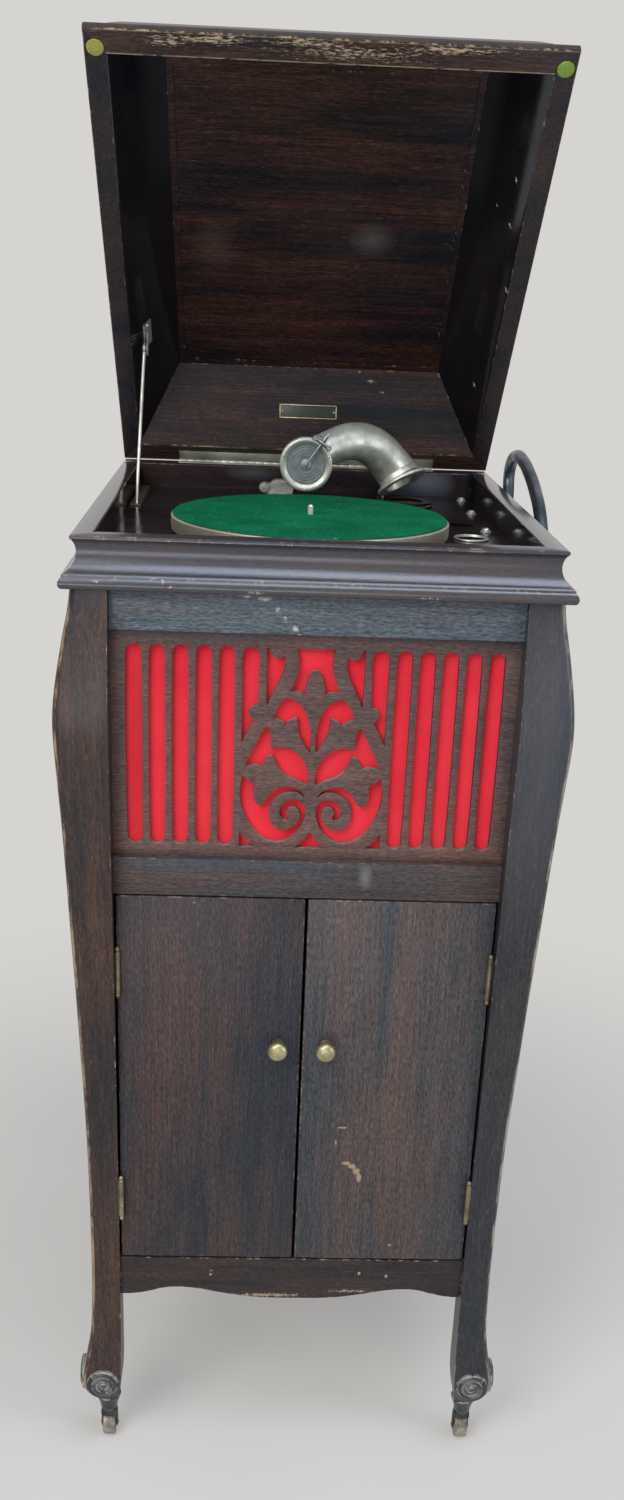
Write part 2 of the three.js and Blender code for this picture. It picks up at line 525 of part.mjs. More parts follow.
// ---------------------------------------------------------------- doors, knobs, hinges
const DOOR_TOP_Z = zr(MIDDLE_RAIL_BOTTOM + DOOR_GAP);
const DOOR_LOW_Z = zr(DOOR_BOTTOM - DOOR_GAP);
const doorEdge = POST_X - DOOR_HANG_GAP;
const doorBody = (s) => box(Math.min(s * doorEdge, s * DOOR_GAP / 2), Math.max(s * doorEdge, s * DOOR_GAP / 2),
  FACE_Y, FACE_Y + DOOR_T, DOOR_LOW_Z, DOOR_TOP_Z);
mesh('left_door', doorBody(-1), WOOD);
mesh('right_door', doorBody(1), WOOD);
const knob = lathe([[0, 0], [11, 0], [11, 1.6], [6.5, 2.6], [4.6, 6], [4.6, 10], [7.5, 12.5], [10, 16],
  [KNOB_R, 20], [9, 24], [5.5, 26.5], [0, 27.5]], 16, 'y').rotateX(Math.PI);
for (const [name, s] of [['left_knob', -1], ['right_knob', 1]]) {
  mesh(name, at(knob.clone(), s * KNOB_X, FACE_Y, zr(MIDDLE_RAIL_BOTTOM + KNOB_DROP)), BRASS);
}
const hinge = (s) => {
  const h = HINGE_LEN / 2;
  const barrel = lathe([[0, -h - 6.5], [2, -h - 6], [3, -h - 3.4], [2, -h - 0.8], [HINGE_R, -h], [HINGE_R, h],
    [2, h + 0.8], [3, h + 3.4], [2, h + 6], [0, h + 6.5]], 8);
  at(barrel, s * HINGE_AXIS_X, FACE_Y - HINGE_AXIS_OUT, 0);
  const x0 = s > 0 ? POST_X - 1.2 : -POST_X;
  return join(barrel, box(x0, x0 + 1.2, FACE_Y - HINGE_AXIS_OUT, INNER_Y0, -h, h),
    box(Math.min(s * HINGE_AXIS_X, s * POST_X), Math.max(s * HINGE_AXIS_X, s * POST_X),
      FACE_Y - HINGE_AXIS_OUT - 0.6, FACE_Y - HINGE_AXIS_OUT + 0.6, -h, h));
};
const hingeHigh = MIDDLE_RAIL_BOTTOM + HINGE_DROP;
const hingeLow = DOOR_BOTTOM - HINGE_LIFT;
for (const [name, s, d] of [['left_upper_hinge', -1, hingeHigh], ['left_lower_hinge', -1, hingeLow],
  ['right_upper_hinge', 1, hingeHigh], ['right_lower_hinge', 1, hingeLow]]) {
  mesh(name, at(hinge(s), 0, 0, zr(d)), BRASS);
}

// ---------------------------------------------------------------- lid, in its closed pose about the hinge axis
// local frame: X along the hinge, -Y towards the lid's front, Z out of the lid's top
const lidGroup = new THREE.Group();
lidGroup.position.set(0, Y_OUT, RIM_Z + LID_GAP);
lidGroup.rotation.x = -LID_OPEN * Math.PI / 180;
group.add(lidGroup);
const LID_OUTER = [[0, LID_GAP], [0, 9], [2.5, 11.5], [7, 14], [9.5, 19], [9.5, 22], [14, 25], [24, 46], [40, 70],
  [56, 84], [78, 90], [120, 93]];
const LID_H = LID_INNER_DEPTH + LID_TOP_T;
const lidZ = (z) => (z > LID_GAP ? z * LID_H / 93 : z);   // the ogee is drawn 93 high
const lidRing = ([i, z]) => rectRing(-X_OUT + i, X_OUT - i, -RIM_D + i, -i, lidZ(z));
const lidInnerRing = (f, z) => rectRing(-WELL_X + f * LID_SIDE_RUN, WELL_X - f * LID_SIDE_RUN,
  -RIM_D + RIM_WALL_FRONT + f * LID_FRONT_RUN, -RIM_WALL_REAR - f * LID_REAR_RUN, z);
const innerAt = (f) => lidInnerRing(f, LID_GAP + f * (LID_INNER_DEPTH - LID_GAP));
mesh('lid', cut(polyhedron(LID_OUTER.map(lidRing)), polyhedron([innerAt(-0.05), innerAt(1)]),
  box(-PIANO_HINGE_L / 2 - 1, PIANO_HINGE_L / 2 + 1, -PIANO_REBATE, 5, -1, PIANO_REBATE)), WOOD_LID, lidGroup);
for (const [name, s] of [['left_lid_buffer', -1], ['right_lid_buffer', 1]]) {
  mesh(name, at(cylinder(BUFFER_R, 1, 'z', 20), s * (WELL_X + 10), -RIM_D + 19, LID_GAP - FIT - 0.5), BUFFER, lidGroup);
}
// slope of the rear inner panel
const slope = Math.atan2(LID_INNER_DEPTH - LID_GAP, LID_REAR_RUN);
const platePos = 48;           // along the slope from its lower edge
const plate = new THREE.Group();
plate.position.set(0, -RIM_WALL_REAR, LID_GAP);
plate.rotation.x = -slope;
lidGroup.add(plate);
mesh('name_plate', box(-PLATE_W / 2, PLATE_W / 2, -platePos - PLATE_H / 2, -platePos + PLATE_H / 2, -FIT - 1.2, -FIT),
  PLATE, plate);
const knuckle = (x0, x1) => at(cylinder(PIANO_KNUCKLE_R, x1 - x0, 'x', 12), (x0 + x1) / 2, 0, 0);
const leaf = (x0, x1, y0, y1, up) => (up ? box(x0, x1, y0, y1, 0.1, 0.5) : box(x0, x1, y0, y1, -0.5, -0.1));
const LEAF_IN = -PIANO_REBATE - 1;
const THIRD = PIANO_HINGE_L / 6;
mesh('lid_hinge_leaf', join(knuckle(-PIANO_HINGE_L / 2, -THIRD - FIT), knuckle(THIRD + FIT, PIANO_HINGE_L / 2),
  leaf(-PIANO_HINGE_L / 2, PIANO_HINGE_L / 2, -18, LEAF_IN, true),
  leaf(-PIANO_HINGE_L / 2, -THIRD - FIT, LEAF_IN - 1, 0, true),
  leaf(THIRD + FIT, PIANO_HINGE_L / 2, LEAF_IN - 1, 0, true)), NICKEL, lidGroup);
mesh('case_hinge_leaf', at(join(knuckle(-THIRD, THIRD),
  leaf(-PIANO_HINGE_L / 2, PIANO_HINGE_L / 2, -18, LEAF_IN, false),
  leaf(-THIRD, THIRD, LEAF_IN - 1, 0, false)), 0, Y_OUT, RIM_Z + LID_GAP), NICKEL);

// ---------------------------------------------------------------- lid stay: a rod that drops through the rear board
const stayDir = STAY_TOP.clone().sub(STAY_FOOT).normalize();
const stayLow = STAY_FOOT.clone().addScaledVector(stayDir, -14);
const stayLen = STAY_TOP.clone().sub(stayLow).length();
const stayBar = cylinder(STAY_R, stayLen - 3, 'y', 12);
stayBar.applyQuaternion(new THREE.Quaternion().setFromUnitVectors(V(0, 1, 0), stayDir));
at(stayBar, ...stayLow.clone().addScaledVector(stayDir, (stayLen - 3) / 2).toArray());
mesh('stay_rod', join(stayBar, at(cylinder(6, 3, 'x', 16), ...STAY_TOP.toArray())), NICKEL);
mesh('stay_plate', cut(box(-WELL_X + 2, -WELL_X + 15, BOARD_SEAM_Y + 6, WELL_REAR - 4, BOARD_TOP, BOARD_TOP + 2),
  box(STAY_FOOT.x - STAY_SLOT.x, STAY_FOOT.x + STAY_SLOT.x, STAY_FOOT.y - 8, STAY_FOOT.y + STAY_SLOT.y / 2,
    BOARD_TOP - 5, BOARD_TOP + 5)), NICKEL);
const sideLean = LID_SIDE_RUN / (LID_INNER_DEPTH - LID_GAP);
const sideTilt = Math.atan(sideLean);
const onSide = (z, off) => [-WELL_X + sideLean * (z - LID_GAP) + off * Math.cos(sideTilt), z - off * Math.sin(sideTilt)];
// the leaf stays clear of the eye, which slides past under it as the lid closes
const LEAF_Z = [STAY_EYE.z + 11.7, STAY_EYE.z + 28.7];
const LUG_OFF = 2.7;           // eye centre to the lug's near face
const bracketLeaf = frontPlate(outline([onSide(LEAF_Z[1], FIT), onSide(LEAF_Z[0], FIT), onSide(LEAF_Z[0], FIT + 1.6),
  onSide(LEAF_Z[1], FIT + 1.6)]), STAY_EYE.y - 27.5, 47);
mesh('stay_bracket', join(bracketLeaf, box(STAY_EYE.x + LUG_OFF, STAY_EYE.x + LUG_OFF + 2, STAY_EYE.y - 6.5,
  STAY_EYE.y + 6.5, STAY_EYE.z - 5.8, LEAF_Z[1] - 9)), NICKEL, lidGroup);

// ---------------------------------------------------------------- platter and spindle
const PLATTER_LOW = zr(FELT_TOP) - FELT_T - PLATTER_H - 4;
mesh('platter', at(lathe([[SPINDLE_R + FIT, 0], [14, 0], [16, 9], [22, 13], [141, 13], [145, 10], [146, 4], [151, 4],
  [PLATTER_R, 5.5], [PLATTER_R, PLATTER_H + 1], [PLATTER_R - 1.5, PLATTER_H + 4], [SPINDLE_R + FIT, PLATTER_H + 4],
  [SPINDLE_R + FIT, 0]], 40), PLATTER_X, PLATTER_Y, PLATTER_LOW), NICKEL);
mesh('platter_felt', at(lathe([[SPINDLE_R + FIT, 0], [FELT_R, 0], [FELT_R, FELT_T - 0.6], [FELT_R - 0.8, FELT_T],
  [SPINDLE_R + FIT, FELT_T], [SPINDLE_R + FIT, 0]], 40), PLATTER_X, PLATTER_Y, zr(FELT_TOP) - FELT_T), FELT);
const SPINDLE_FOOT = CRANK_Z - 32;
const pinion = gear(12, 1.15, 6, 0).rotateY(-Math.PI / 2);
const spindle = join(at(lathe([[0, SPINDLE_FOOT], [2, SPINDLE_FOOT], [SPINDLE_R, SPINDLE_FOOT + 2],
  [SPINDLE_R, zr(FELT_TOP) + SPINDLE_RISE - 1.5], [1.6, zr(FELT_TOP) + SPINDLE_RISE], [0, zr(FELT_TOP) + SPINDLE_RISE]],
16), PLATTER_X, PLATTER_Y, 0), at(pinion, PLATTER_X, PLATTER_Y, CRANK_Z + 26));
mesh('spindle', spindle, STEEL);

// ---------------------------------------------------------------- spring motor under the board
const MOTOR_Y = CRANK_Y;
const GOVERNOR_Y = -112;
const GOVERNOR_Z = CRANK_Z + 8;
const FRAME_LOW = CRANK_Z - 38;
const CHEEKS = [-26, 56];
const CHEEK_T = 3;
const FRAME_TOP = BOARD_UNDER - 9;
const pillars = [[-70, -132], [-70, 12], [62, -132], [62, 12]].map(([x, y]) =>
  at(cylinder(5, BOARD_UNDER - FRAME_TOP + 2, 'z', 12), x, y, (BOARD_UNDER + FRAME_TOP - 2) / 2));
const frameBody = join(box(-80, 72, -140, 20, FRAME_TOP - 4, FRAME_TOP), ...pillars,
  ...CHEEKS.map((x) => box(x, x + CHEEK_T, -132, 12, FRAME_LOW, FRAME_TOP - 2)),
  box(CHEEKS[0] + 1, CHEEKS[1] + 1, PLATTER_Y - 12, PLATTER_Y + 12, FRAME_LOW, SPINDLE_FOOT - FIT));
mesh('motor_frame', cut(frameBody, at(cylinder(SPINDLE_R + 2, 20, 'z', 16), PLATTER_X, PLATTER_Y, FRAME_TOP - 2),
  at(cylinder(SHAFT_R + FIT, 120, 'x', 16), 16, MOTOR_Y, CRANK_Z),
  at(cylinder(2.5 + FIT, 120, 'x', 12), 16, GOVERNOR_Y, GOVERNOR_Z)), IRON);
mesh('spring_barrel', at(lathe([[0, -27], [SHAFT_R, -27], [SHAFT_R, 0], [35, 0], [36, 1], [36, 3], [35, 4], [31, 4],
  [31, 50], [SHAFT_R, 50], [SHAFT_R, 60], [0, 60]], 24, 'x'), 0, MOTOR_Y, CRANK_Z), STEEL);
const governorBalls = [0, 1, 2].map((i) => {
  const a = i * 2 * Math.PI / 3;
  return at(new THREE.SphereGeometry(6, 8, 6), 20, GOVERNOR_Y + 13 * Math.cos(a), GOVERNOR_Z + 13 * Math.sin(a));
});
const governorArms = [0, 1, 2].map((i) => {
  const arm = box(6, 34, -1.5, 1.5, 8, 10.5).rotateX(i * 2 * Math.PI / 3 - Math.PI / 2);
  return at(arm, 0, GOVERNOR_Y, GOVERNOR_Z);
});
mesh('governor', join(at(lathe([[0, -27], [2.5, -27], [2.5, 4], [11, 4], [11, 8], [2.5, 8], [2.5, 32], [11, 32], [11, 36],
  [2.5, 36], [2.5, 42], [19, 42], [19, 44], [2.5, 44], [2.5, 60], [0, 60]], 14, 'x'), 0, GOVERNOR_Y, GOVERNOR_Z),
...governorBalls, ...governorArms), BRASS);

// ---------------------------------------------------------------- winding crank on the right side
// from the shaft to the grip pin: towards the rear, and up
const crankPath = new THREE.CatmullRomCurve3([[0, 0], [9, 15], [29, 38], [53, 61], [78, 79.5], [116, 96], [166, 110.5],
  [221, 119.5], [271, 119.5], [308, 105], [316.5, 89.5], [312, 72], [304, 46], [CRANK_REACH, GRIP_RISE]]
  .map(([y, z]) => V(CRANK_PLANE_X, CRANK_Y + y, CRANK_Z + z)), false, 'centripetal');
const bar = new THREE.ExtrudeGeometry(new THREE.Shape().absarc(0, 0, CRANK_BAR_R, 0, 2 * Math.PI, false),
  { steps: 30, bevelEnabled: false, extrudePath: crankPath, curveSegments: 4 });
const SHAFT_IN = 62.5;
const SHAFT_OUT = X_OUT + 13.5;
mesh('crank', join(bar, at(cylinder(11, 36, 'x', 20), X_OUT + 23, CRANK_Y, CRANK_Z),
  at(cylinder(SHAFT_R, SHAFT_OUT - SHAFT_IN, 'x', 16), (SHAFT_IN + SHAFT_OUT) / 2, CRANK_Y, CRANK_Z),
  at(cylinder(19, 4, 'x', 20), SHAFT_IN + 2, CRANK_Y, CRANK_Z),
  at(cylinder(CRANK_BAR_R + 1.5, 17, 'x', 16), CRANK_PLANE_X, GRIP_Y, GRIP_Z),
  at(cylinder(3, 44, 'x', 12), CRANK_PLANE_X + 28, GRIP_Y, GRIP_Z)), STEEL);
mesh('crank_grip', at(lathe([[3 + FIT, 0], [8, 0], [9.5, 3], [9, 8], [11, 20], [11, 28], [8.5, 34], [3 + FIT, 35],
  [3 + FIT, 0]], 16, 'x'), CRANK_PLANE_X + 9, GRIP_Y, GRIP_Z), WOOD);

// ---------------------------------------------------------------- tonearm, photographed lifted off its seat
const seat = V(ARM_SEAT.x, ARM_SEAT.y, ARM_SEAT.z);
const liftAxis = V(Math.cos(ARM_HINGE_DIR), Math.sin(ARM_HINGE_DIR), 0);
const liftOut = V(-liftAxis.y, liftAxis.x, 0);     // from the seat hinge towards the seat centre
const liftPin = seat.clone().addScaledVector(liftOut, -ARM_HINGE_R);
mesh('tonearm_base', at(lathe([[THROAT.r + 4, 0], [FLANGE_R + 1, 0], [FLANGE_R + 1, 1.8], [FLANGE_R, 3],
  [THROAT.r + 4, 3], [THROAT.r + 4, 0]], 24), seat.x, seat.y, BOARD_TOP), NICKEL);
const alongPin = (g, shift) => {
  g.applyQuaternion(new THREE.Quaternion().setFromUnitVectors(V(0, 1, 0), liftAxis));
  const c = liftPin.clone().addScaledVector(liftAxis, shift);
  return at(g, c.x, c.y, c.z);
};
const pinLug = (half, shift, from, to, z0, z1) => {
  const g = box(from, to, -half, half, z0 - seat.z, z1 - seat.z);
  g.applyMatrix4(new THREE.Matrix4().makeBasis(liftOut, liftAxis, V(0, 0, -1)).multiply(
    new THREE.Matrix4().makeScale(1, 1, -1)));
  const c = liftPin.clone().addScaledVector(liftAxis, shift);
  return at(g, c.x, c.y, c.z);
};
const COLLAR_LOW = BOARD_TOP + 3 + FIT;
const COLLAR_TOP = seat.z - FIT;
mesh('tonearm_collar', join(at(lathe([[THROAT.r, COLLAR_LOW], [FLANGE_R - 1, COLLAR_LOW], [FLANGE_R - 1, COLLAR_TOP],
  [THROAT.r, COLLAR_TOP], [THROAT.r, COLLAR_LOW]], 24), seat.x, seat.y, 0),
...[-6.5, 6.5].flatMap((k) => [alongPin(cylinder(2.4, 5, 'y', 12), k), pinLug(2.5, k, -1, 12, COLLAR_LOW, COLLAR_TOP)])),
NICKEL);
// centre line of the neck (x, y, above the rim top) and its radius
const ARM_RINGS = [[-6, 105.8, 25, 10.5], [-5.6, 112, 25.3, 13], [-1, 126, 28.5, 17.5], [11, 138, 34.5, 19.5],
  [28, 147, 41.5, 20.5], [50, 157, 47, 22], [71, 168, 43.5, 23.2], [88, 178.5, 32.5, 24.2], [101, 185.5, 19, 25],
  [110.5, 187.5, 8, 25.8]].map(([x, y, up, r]) => [V(x, y, RIM_Z + up), r]);
const flangeNormal = V(0, 0, -1).applyAxisAngle(liftAxis, ARM_TILT * Math.PI / 180);
const flangeCentre = seat.clone().sub(liftPin).applyAxisAngle(liftAxis, ARM_TILT * Math.PI / 180).add(liftPin);
const armRing = (c, dir, r, n = 20) => {
  const u = V(0, 0, 1).addScaledVector(dir, -dir.z).normalize();
  const w = u.clone().cross(dir);
  return [...Array(n).keys()].map((i) => {
    const a = -2 * Math.PI * i / n;
    return c.clone().addScaledVector(u, r * Math.cos(a)).addScaledVector(w, r * Math.sin(a));
  });
};
const armCurve = new THREE.CatmullRomCurve3([...ARM_RINGS.map(([p]) => p),
  flangeCentre.clone().addScaledVector(flangeNormal, -4.5)], false, 'centripetal');
const armRings = ARM_RINGS.map(([p, r], i) => armRing(p,
  i === 0 ? V(0, 1, 0) : armCurve.getTangent(i / ARM_RINGS.length), r));
const flangeRing = (back, r) => armRing(flangeCentre.clone().addScaledVector(flangeNormal, -back), flangeNormal, r);
const armTube = polyhedron([...armRings, flangeRing(5.2, 27), flangeRing(4.4, FLANGE_R - 1), flangeRing(3, FLANGE_R),
  flangeRing(0.8, FLANGE_R), flangeRing(0, FLANGE_R - 0.8)]);
const armBore = polyhedron([flangeRing(26, 12), flangeRing(10, THROAT.r - 1), flangeRing(-3, THROAT.r - 1)]);
const tilt = (g) => g.translate(-liftPin.x, -liftPin.y, -liftPin.z)
  .applyMatrix4(new THREE.Matrix4().makeRotationAxis(liftAxis, ARM_TILT * Math.PI / 180))
  .translate(liftPin.x, liftPin.y, liftPin.z);
mesh('tonearm', shell(solid(armTube).add(solid(alongPin(cylinder(2.4, 6.6, 'y', 12), 0)))
  .add(solid(tilt(pinLug(3.3, 0, 0, 6, seat.z + 0.6, seat.z + 2.4)))).subtract(solid(armBore))), STEEL);

const soundbox = lathe([[0, 6.4], [12, 6.4], [13, 4.6], [28, 4.6], [SOUNDBOX.r, 2.4], [SOUNDBOX.r, -4.6],
  [SOUNDBOX.r - 1.6, -6.5], [26, -6.5], [24, -5], [23.4, -2.4], [6.5, -2.4], [6.5, -4], [4.6, -4], [4.6, -5.5], [0, -5.5]],
28, 'y');
mesh('soundbox', at(soundbox, SOUNDBOX.x, SOUNDBOX.y, SOUNDBOX.z), NICKEL);
const NEEDLE_UP = 55 * Math.PI / 180;
const stylus = join(box(-1, 33, -9.2, -6.9, -1.4, 1.4), box(28.5, 34.5, -11.5, -6.9, -13, 13),
  at(cylinder(2.6, 5, 'y', 12), 31.5, -12.5, -10), at(cylinder(2.6, 5, 'y', 12), 31.5, -12.5, 10),
  at(cylinder(2.7, 8, 'x', 12), 37.5, -9.2, 0), at(cylinder(0.8, 6, 'x', 8), 42.5, -9.2, 0));
mesh('stylus_bar', at(stylus.rotateY(-NEEDLE_UP), SOUNDBOX.x, SOUNDBOX.y, SOUNDBOX.z), STEEL);

const rest = new THREE.Shape();
rest.moveTo(-64, BOARD_TOP);
rest.lineTo(-25, BOARD_TOP);
rest.lineTo(-26, BOARD_TOP + 6);
rest.lineTo(-33, BOARD_TOP + 9);
rest.lineTo(-34, BOARD_TOP + 18);
rest.lineTo(-39, BOARD_TOP + 21);
rest.lineTo(-43, BOARD_TOP + 15);
rest.lineTo(-49, BOARD_TOP + 16);
rest.lineTo(-51, BOARD_TOP + 25);
rest.lineTo(-60, BOARD_TOP + 27);
rest.lineTo(-65, BOARD_TOP + 22);
mesh('arm_rest', join(frontPlate(rest, 162, 10), cut(at(cylinder(6, 4, 'y', 16), -57.5, 160.5, BOARD_TOP + 19),
  box(-70, -45, 155, 159.8, BOARD_TOP + 18.3, BOARD_TOP + 19.7))), IRON);

// ---------------------------------------------------------------- casters
const CASTER_X = X_OUT - CASTER_IN;
const CASTER_Y = Y_OUT - CASTER_IN;
const swivelBody = (sy) => join(
  lathe([[0, POST_FOOT_Z - FIT], [11, POST_FOOT_Z - FIT], [11, 60], [7.5, 57], [7, 40], [0, 40]].reverse(), 16),
  box(-10, 10, Math.min(-7, sy * WHEEL_TRAIL - 5), Math.max(7, sy * WHEEL_TRAIL + 5), 33, 42),
  box(-10, -8, sy * WHEEL_TRAIL - 5, sy * WHEEL_TRAIL + 5, WHEEL_R - 4, 35),
  box(8, 10, sy * WHEEL_TRAIL - 5, sy * WHEEL_TRAIL + 5, WHEEL_R - 4, 35),
  at(cylinder(2, 19, 'x', 10), 0, sy * WHEEL_TRAIL, WHEEL_R));
const wheelBody = lathe([[2 + FIT, -WHEEL_W / 2], [13.6, -WHEEL_W / 2], [WHEEL_R, -WHEEL_W / 2 + 1.4],
  [WHEEL_R, WHEEL_W / 2 - 1.4], [13.6, WHEEL_W / 2], [2 + FIT, WHEEL_W / 2], [2 + FIT, -WHEEL_W / 2]], 18, 'x');
for (const [name, sx, sy] of [['front_left', -1, -1], ['front_right', 1, -1], ['rear_left', -1, 1], ['rear_right', 1, 1]]) {
  mesh(`${name}_caster`, at(swivelBody(1), sx * CASTER_X, sy * CASTER_Y, 0), IRON);
  mesh(`${name}_wheel`, at(wheelBody.clone(), sx * CASTER_X, sy * CASTER_Y + WHEEL_TRAIL, WHEEL_R), STEEL);
}

// ---------------------------------------------------------------- footprint centred on the origin
group.updateMatrixWorld(true);
const bounds = new THREE.Box3().setFromObject(group, true);
group.position.set(-(bounds.min.x + bounds.max.x) / 2, -(bounds.min.y + bounds.max.y) / 2, 0);

export default group;
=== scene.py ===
# %% [markdown]
# # A gramophone cabinet, dressed for its portrait
# The frame holds every solid of the cabinet at real size, in metres: posts, rails, lid,
# turntable, tonearm, crank and casters. This notebook gives those solids their looks.
# Each cell says what the piece is on the real object, how it could be made, and why it
# is made the way it is.

# %% Load the frame
import math
import random
import bpy
from mathutils import Matrix, Vector


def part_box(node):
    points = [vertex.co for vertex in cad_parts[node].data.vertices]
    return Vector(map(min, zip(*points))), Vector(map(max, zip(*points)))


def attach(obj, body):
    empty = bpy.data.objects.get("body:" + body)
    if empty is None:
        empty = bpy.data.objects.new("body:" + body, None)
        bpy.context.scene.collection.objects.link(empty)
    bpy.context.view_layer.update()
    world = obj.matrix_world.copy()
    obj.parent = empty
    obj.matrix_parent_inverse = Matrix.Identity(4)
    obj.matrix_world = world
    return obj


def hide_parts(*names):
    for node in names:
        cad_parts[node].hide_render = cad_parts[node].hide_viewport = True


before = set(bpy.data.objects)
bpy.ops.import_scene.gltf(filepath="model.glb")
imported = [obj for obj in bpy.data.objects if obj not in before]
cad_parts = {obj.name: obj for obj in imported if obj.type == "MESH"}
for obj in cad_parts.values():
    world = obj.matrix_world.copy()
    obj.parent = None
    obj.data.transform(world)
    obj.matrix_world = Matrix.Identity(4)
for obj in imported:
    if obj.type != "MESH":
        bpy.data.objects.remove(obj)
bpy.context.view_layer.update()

# %% [markdown]
# The cabinet's own drawing is in millimetres about the centre of its top rim. The frame
# is centred on the whole object, crank and open lid included, so one helper turns a
# place on the drawing into a place in the frame.

# %% Places on the drawing
MM = 0.001
RIM_LOW, RIM_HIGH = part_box("rim_moulding")
CENTRE = Vector(((RIM_LOW[0] + RIM_HIGH[0]) / 2, (RIM_LOW[1] + RIM_HIGH[1]) / 2, 0.0))
RIM_TOP = 1120.0


def place(x, y, z):
    """A point of the drawing, in millimetres, as a point of the frame, in metres."""
    return CENTRE + Vector((x, y, z)) * MM


print("drawing centre in the frame:", [round(v, 5) for v in CENTRE])

# %% [markdown]
# Colours are given as sRGB hex values. Shaders work in linear light, so one
# function converts them.

# %% Colour and node helpers
def tint(code):
    """'#rrggbb' as the linear RGBA that a shader socket wants."""
    channels = [int(code[i:i + 2], 16) / 255 for i in (1, 3, 5)]
    linear = [c / 12.92 if c <= 0.04045 else ((c + 0.055) / 1.055) ** 2.4 for c in channels]
    return (*linear, 1.0)


def feed(tree, node, inputs):
    """Links the inputs that are given as sockets, and sets the others."""
    for key, value in inputs.items():
        if isinstance(value, bpy.types.NodeSocket):
            tree.links.new(value, node.inputs[key])
        else:
            node.inputs[key].default_value = value


def add(tree, kind, inputs=None, **settings):
    """One shader node with its inputs and settings."""
    node = tree.nodes.new("ShaderNode" + kind)
    for key, value in settings.items():
        setattr(node, key, value)
    feed(tree, node, inputs or {})
    return node


def blank(name):
    """A node material with its tree, its Principled shader and the place on the object."""
    material = bpy.data.materials.new(name)
    material.use_nodes = True
    tree = material.node_tree
    tree.nodes.clear()
    shader = add(tree, "BsdfPrincipled")
    add(tree, "OutputMaterial", {"Surface": shader.outputs["BSDF"]})
    return material, tree, shader, add(tree, "TexCoord").outputs["Object"]


def maths(tree, operation, first, second=0.5, **settings):
    """One sum of two values."""
    return add(tree, "Math", {0: first, 1: second}, operation=operation, **settings).outputs[0]


def remap(tree, value, low, high, to_low=0.0, to_high=1.0, **settings):
    """A value stretched from one range to another, and clamped there."""
    ends = {"From Min": low, "From Max": high, "To Min": to_low, "To Max": to_high}
    return add(tree, "MapRange", {"Value": value, **ends}, **settings).outputs[0]


def noise(tree, vector, scale, detail=2.0, roughness=0.5, **more):
    """A noise between 0 and 1."""
    inputs = {"Vector": vector, "Scale": scale, "Detail": detail, "Roughness": roughness, **more}
    return add(tree, "TexNoise", inputs).outputs["Fac"]


def patches(size):
    """The noise scale whose patches are about size millimetres across."""
    return 500 / size


def mixed(tree, amount, first, second):
    """The colour between two. A colour Mix node keeps its colours at inputs 6 and 7."""
    return add(tree, "Mix", {"Factor": amount, 6: first, 7: second}, data_type="RGBA").outputs[2]


def ramp(tree, value, *stops):
    """A colour that runs between two (position, hex) stops."""
    node = add(tree, "ValToRGB", {"Fac": value})
    for element, (position, code) in zip(node.color_ramp.elements, stops):
        element.position = position
        element.color = tint(code)
    return node.outputs["Color"]


def bumpy(tree, height, strength, distance):
    """A normal that follows a height."""
    return add(tree, "Bump", {"Height": height, "Strength": strength, "Distance": distance}).outputs[0]


def seen_directly(tree):
    """1 for the camera and for reflections, 0 for the light that falls on things."""
    rays = add(tree, "LightPath").outputs
    return maths(tree, "MAXIMUM", rays["Is Camera Ray"], rays["Is Glossy Ray"])


print("node helpers ready")

# %% [markdown]
# ## Camera, floor and light
# The camera stands where the photographer stood: a little above the rim, to the left of
# the middle, looking down. The lens looks straight ahead and the picture is a crop of
# its view, so the rest of the framing is lens shift.

# %% Camera
PHOTO_W, PHOTO_H = 624, 1500
FOCAL_PX = 1439.24
LENS_CENTRE_PX = (309.89, 896.89)
CAMERA_AT = place(-58.78, -1679.97, 1358.39)
PITCH, YAW, ROLL = 0.411, -0.0442, -0.041

camera_data = bpy.data.cameras.new("portrait_camera")
camera_data.sensor_width = 36.0
camera_data.lens = FOCAL_PX * camera_data.sensor_width / PHOTO_H
camera_data.shift_x = (PHOTO_W / 2 - LENS_CENTRE_PX[0]) / PHOTO_H
camera_data.shift_y = (LENS_CENTRE_PX[1] - PHOTO_H / 2) / PHOTO_H
camera_data.clip_start = 0.05
level_right = Vector((math.cos(YAW), math.sin(YAW), 0))
level_ahead = Vector((-math.sin(YAW), math.cos(YAW), 0))
ahead = level_ahead * math.cos(PITCH) - Vector((0, 0, math.sin(PITCH)))
head = level_ahead * math.sin(PITCH) + Vector((0, 0, math.cos(PITCH)))
right = level_right * math.cos(ROLL) - head * math.sin(ROLL)
up = level_right * math.sin(ROLL) + head * math.cos(ROLL)
camera = bpy.data.objects.new("portrait_camera", camera_data)
camera.matrix_world = Matrix.Translation(CAMERA_AT) @ Matrix((
    (right.x, up.x, -ahead.x), (right.y, up.y, -ahead.y), (right.z, up.z, -ahead.z))).to_4x4()
bpy.context.collection.objects.link(camera)
bpy.context.scene.camera = camera
print("lens", round(camera_data.lens, 2), "shift", round(camera_data.shift_x, 4),
    round(camera_data.shift_y, 4))

# %% [markdown]
# A pale floor and a pale surround keep the dark wood readable. Far from the cabinet the
# floor fades into the surround's own tone, so that no horizon cuts the picture. Plain
# light falls on the object from a dimmer grey, and only the camera and the reflections
# see the pale tone.

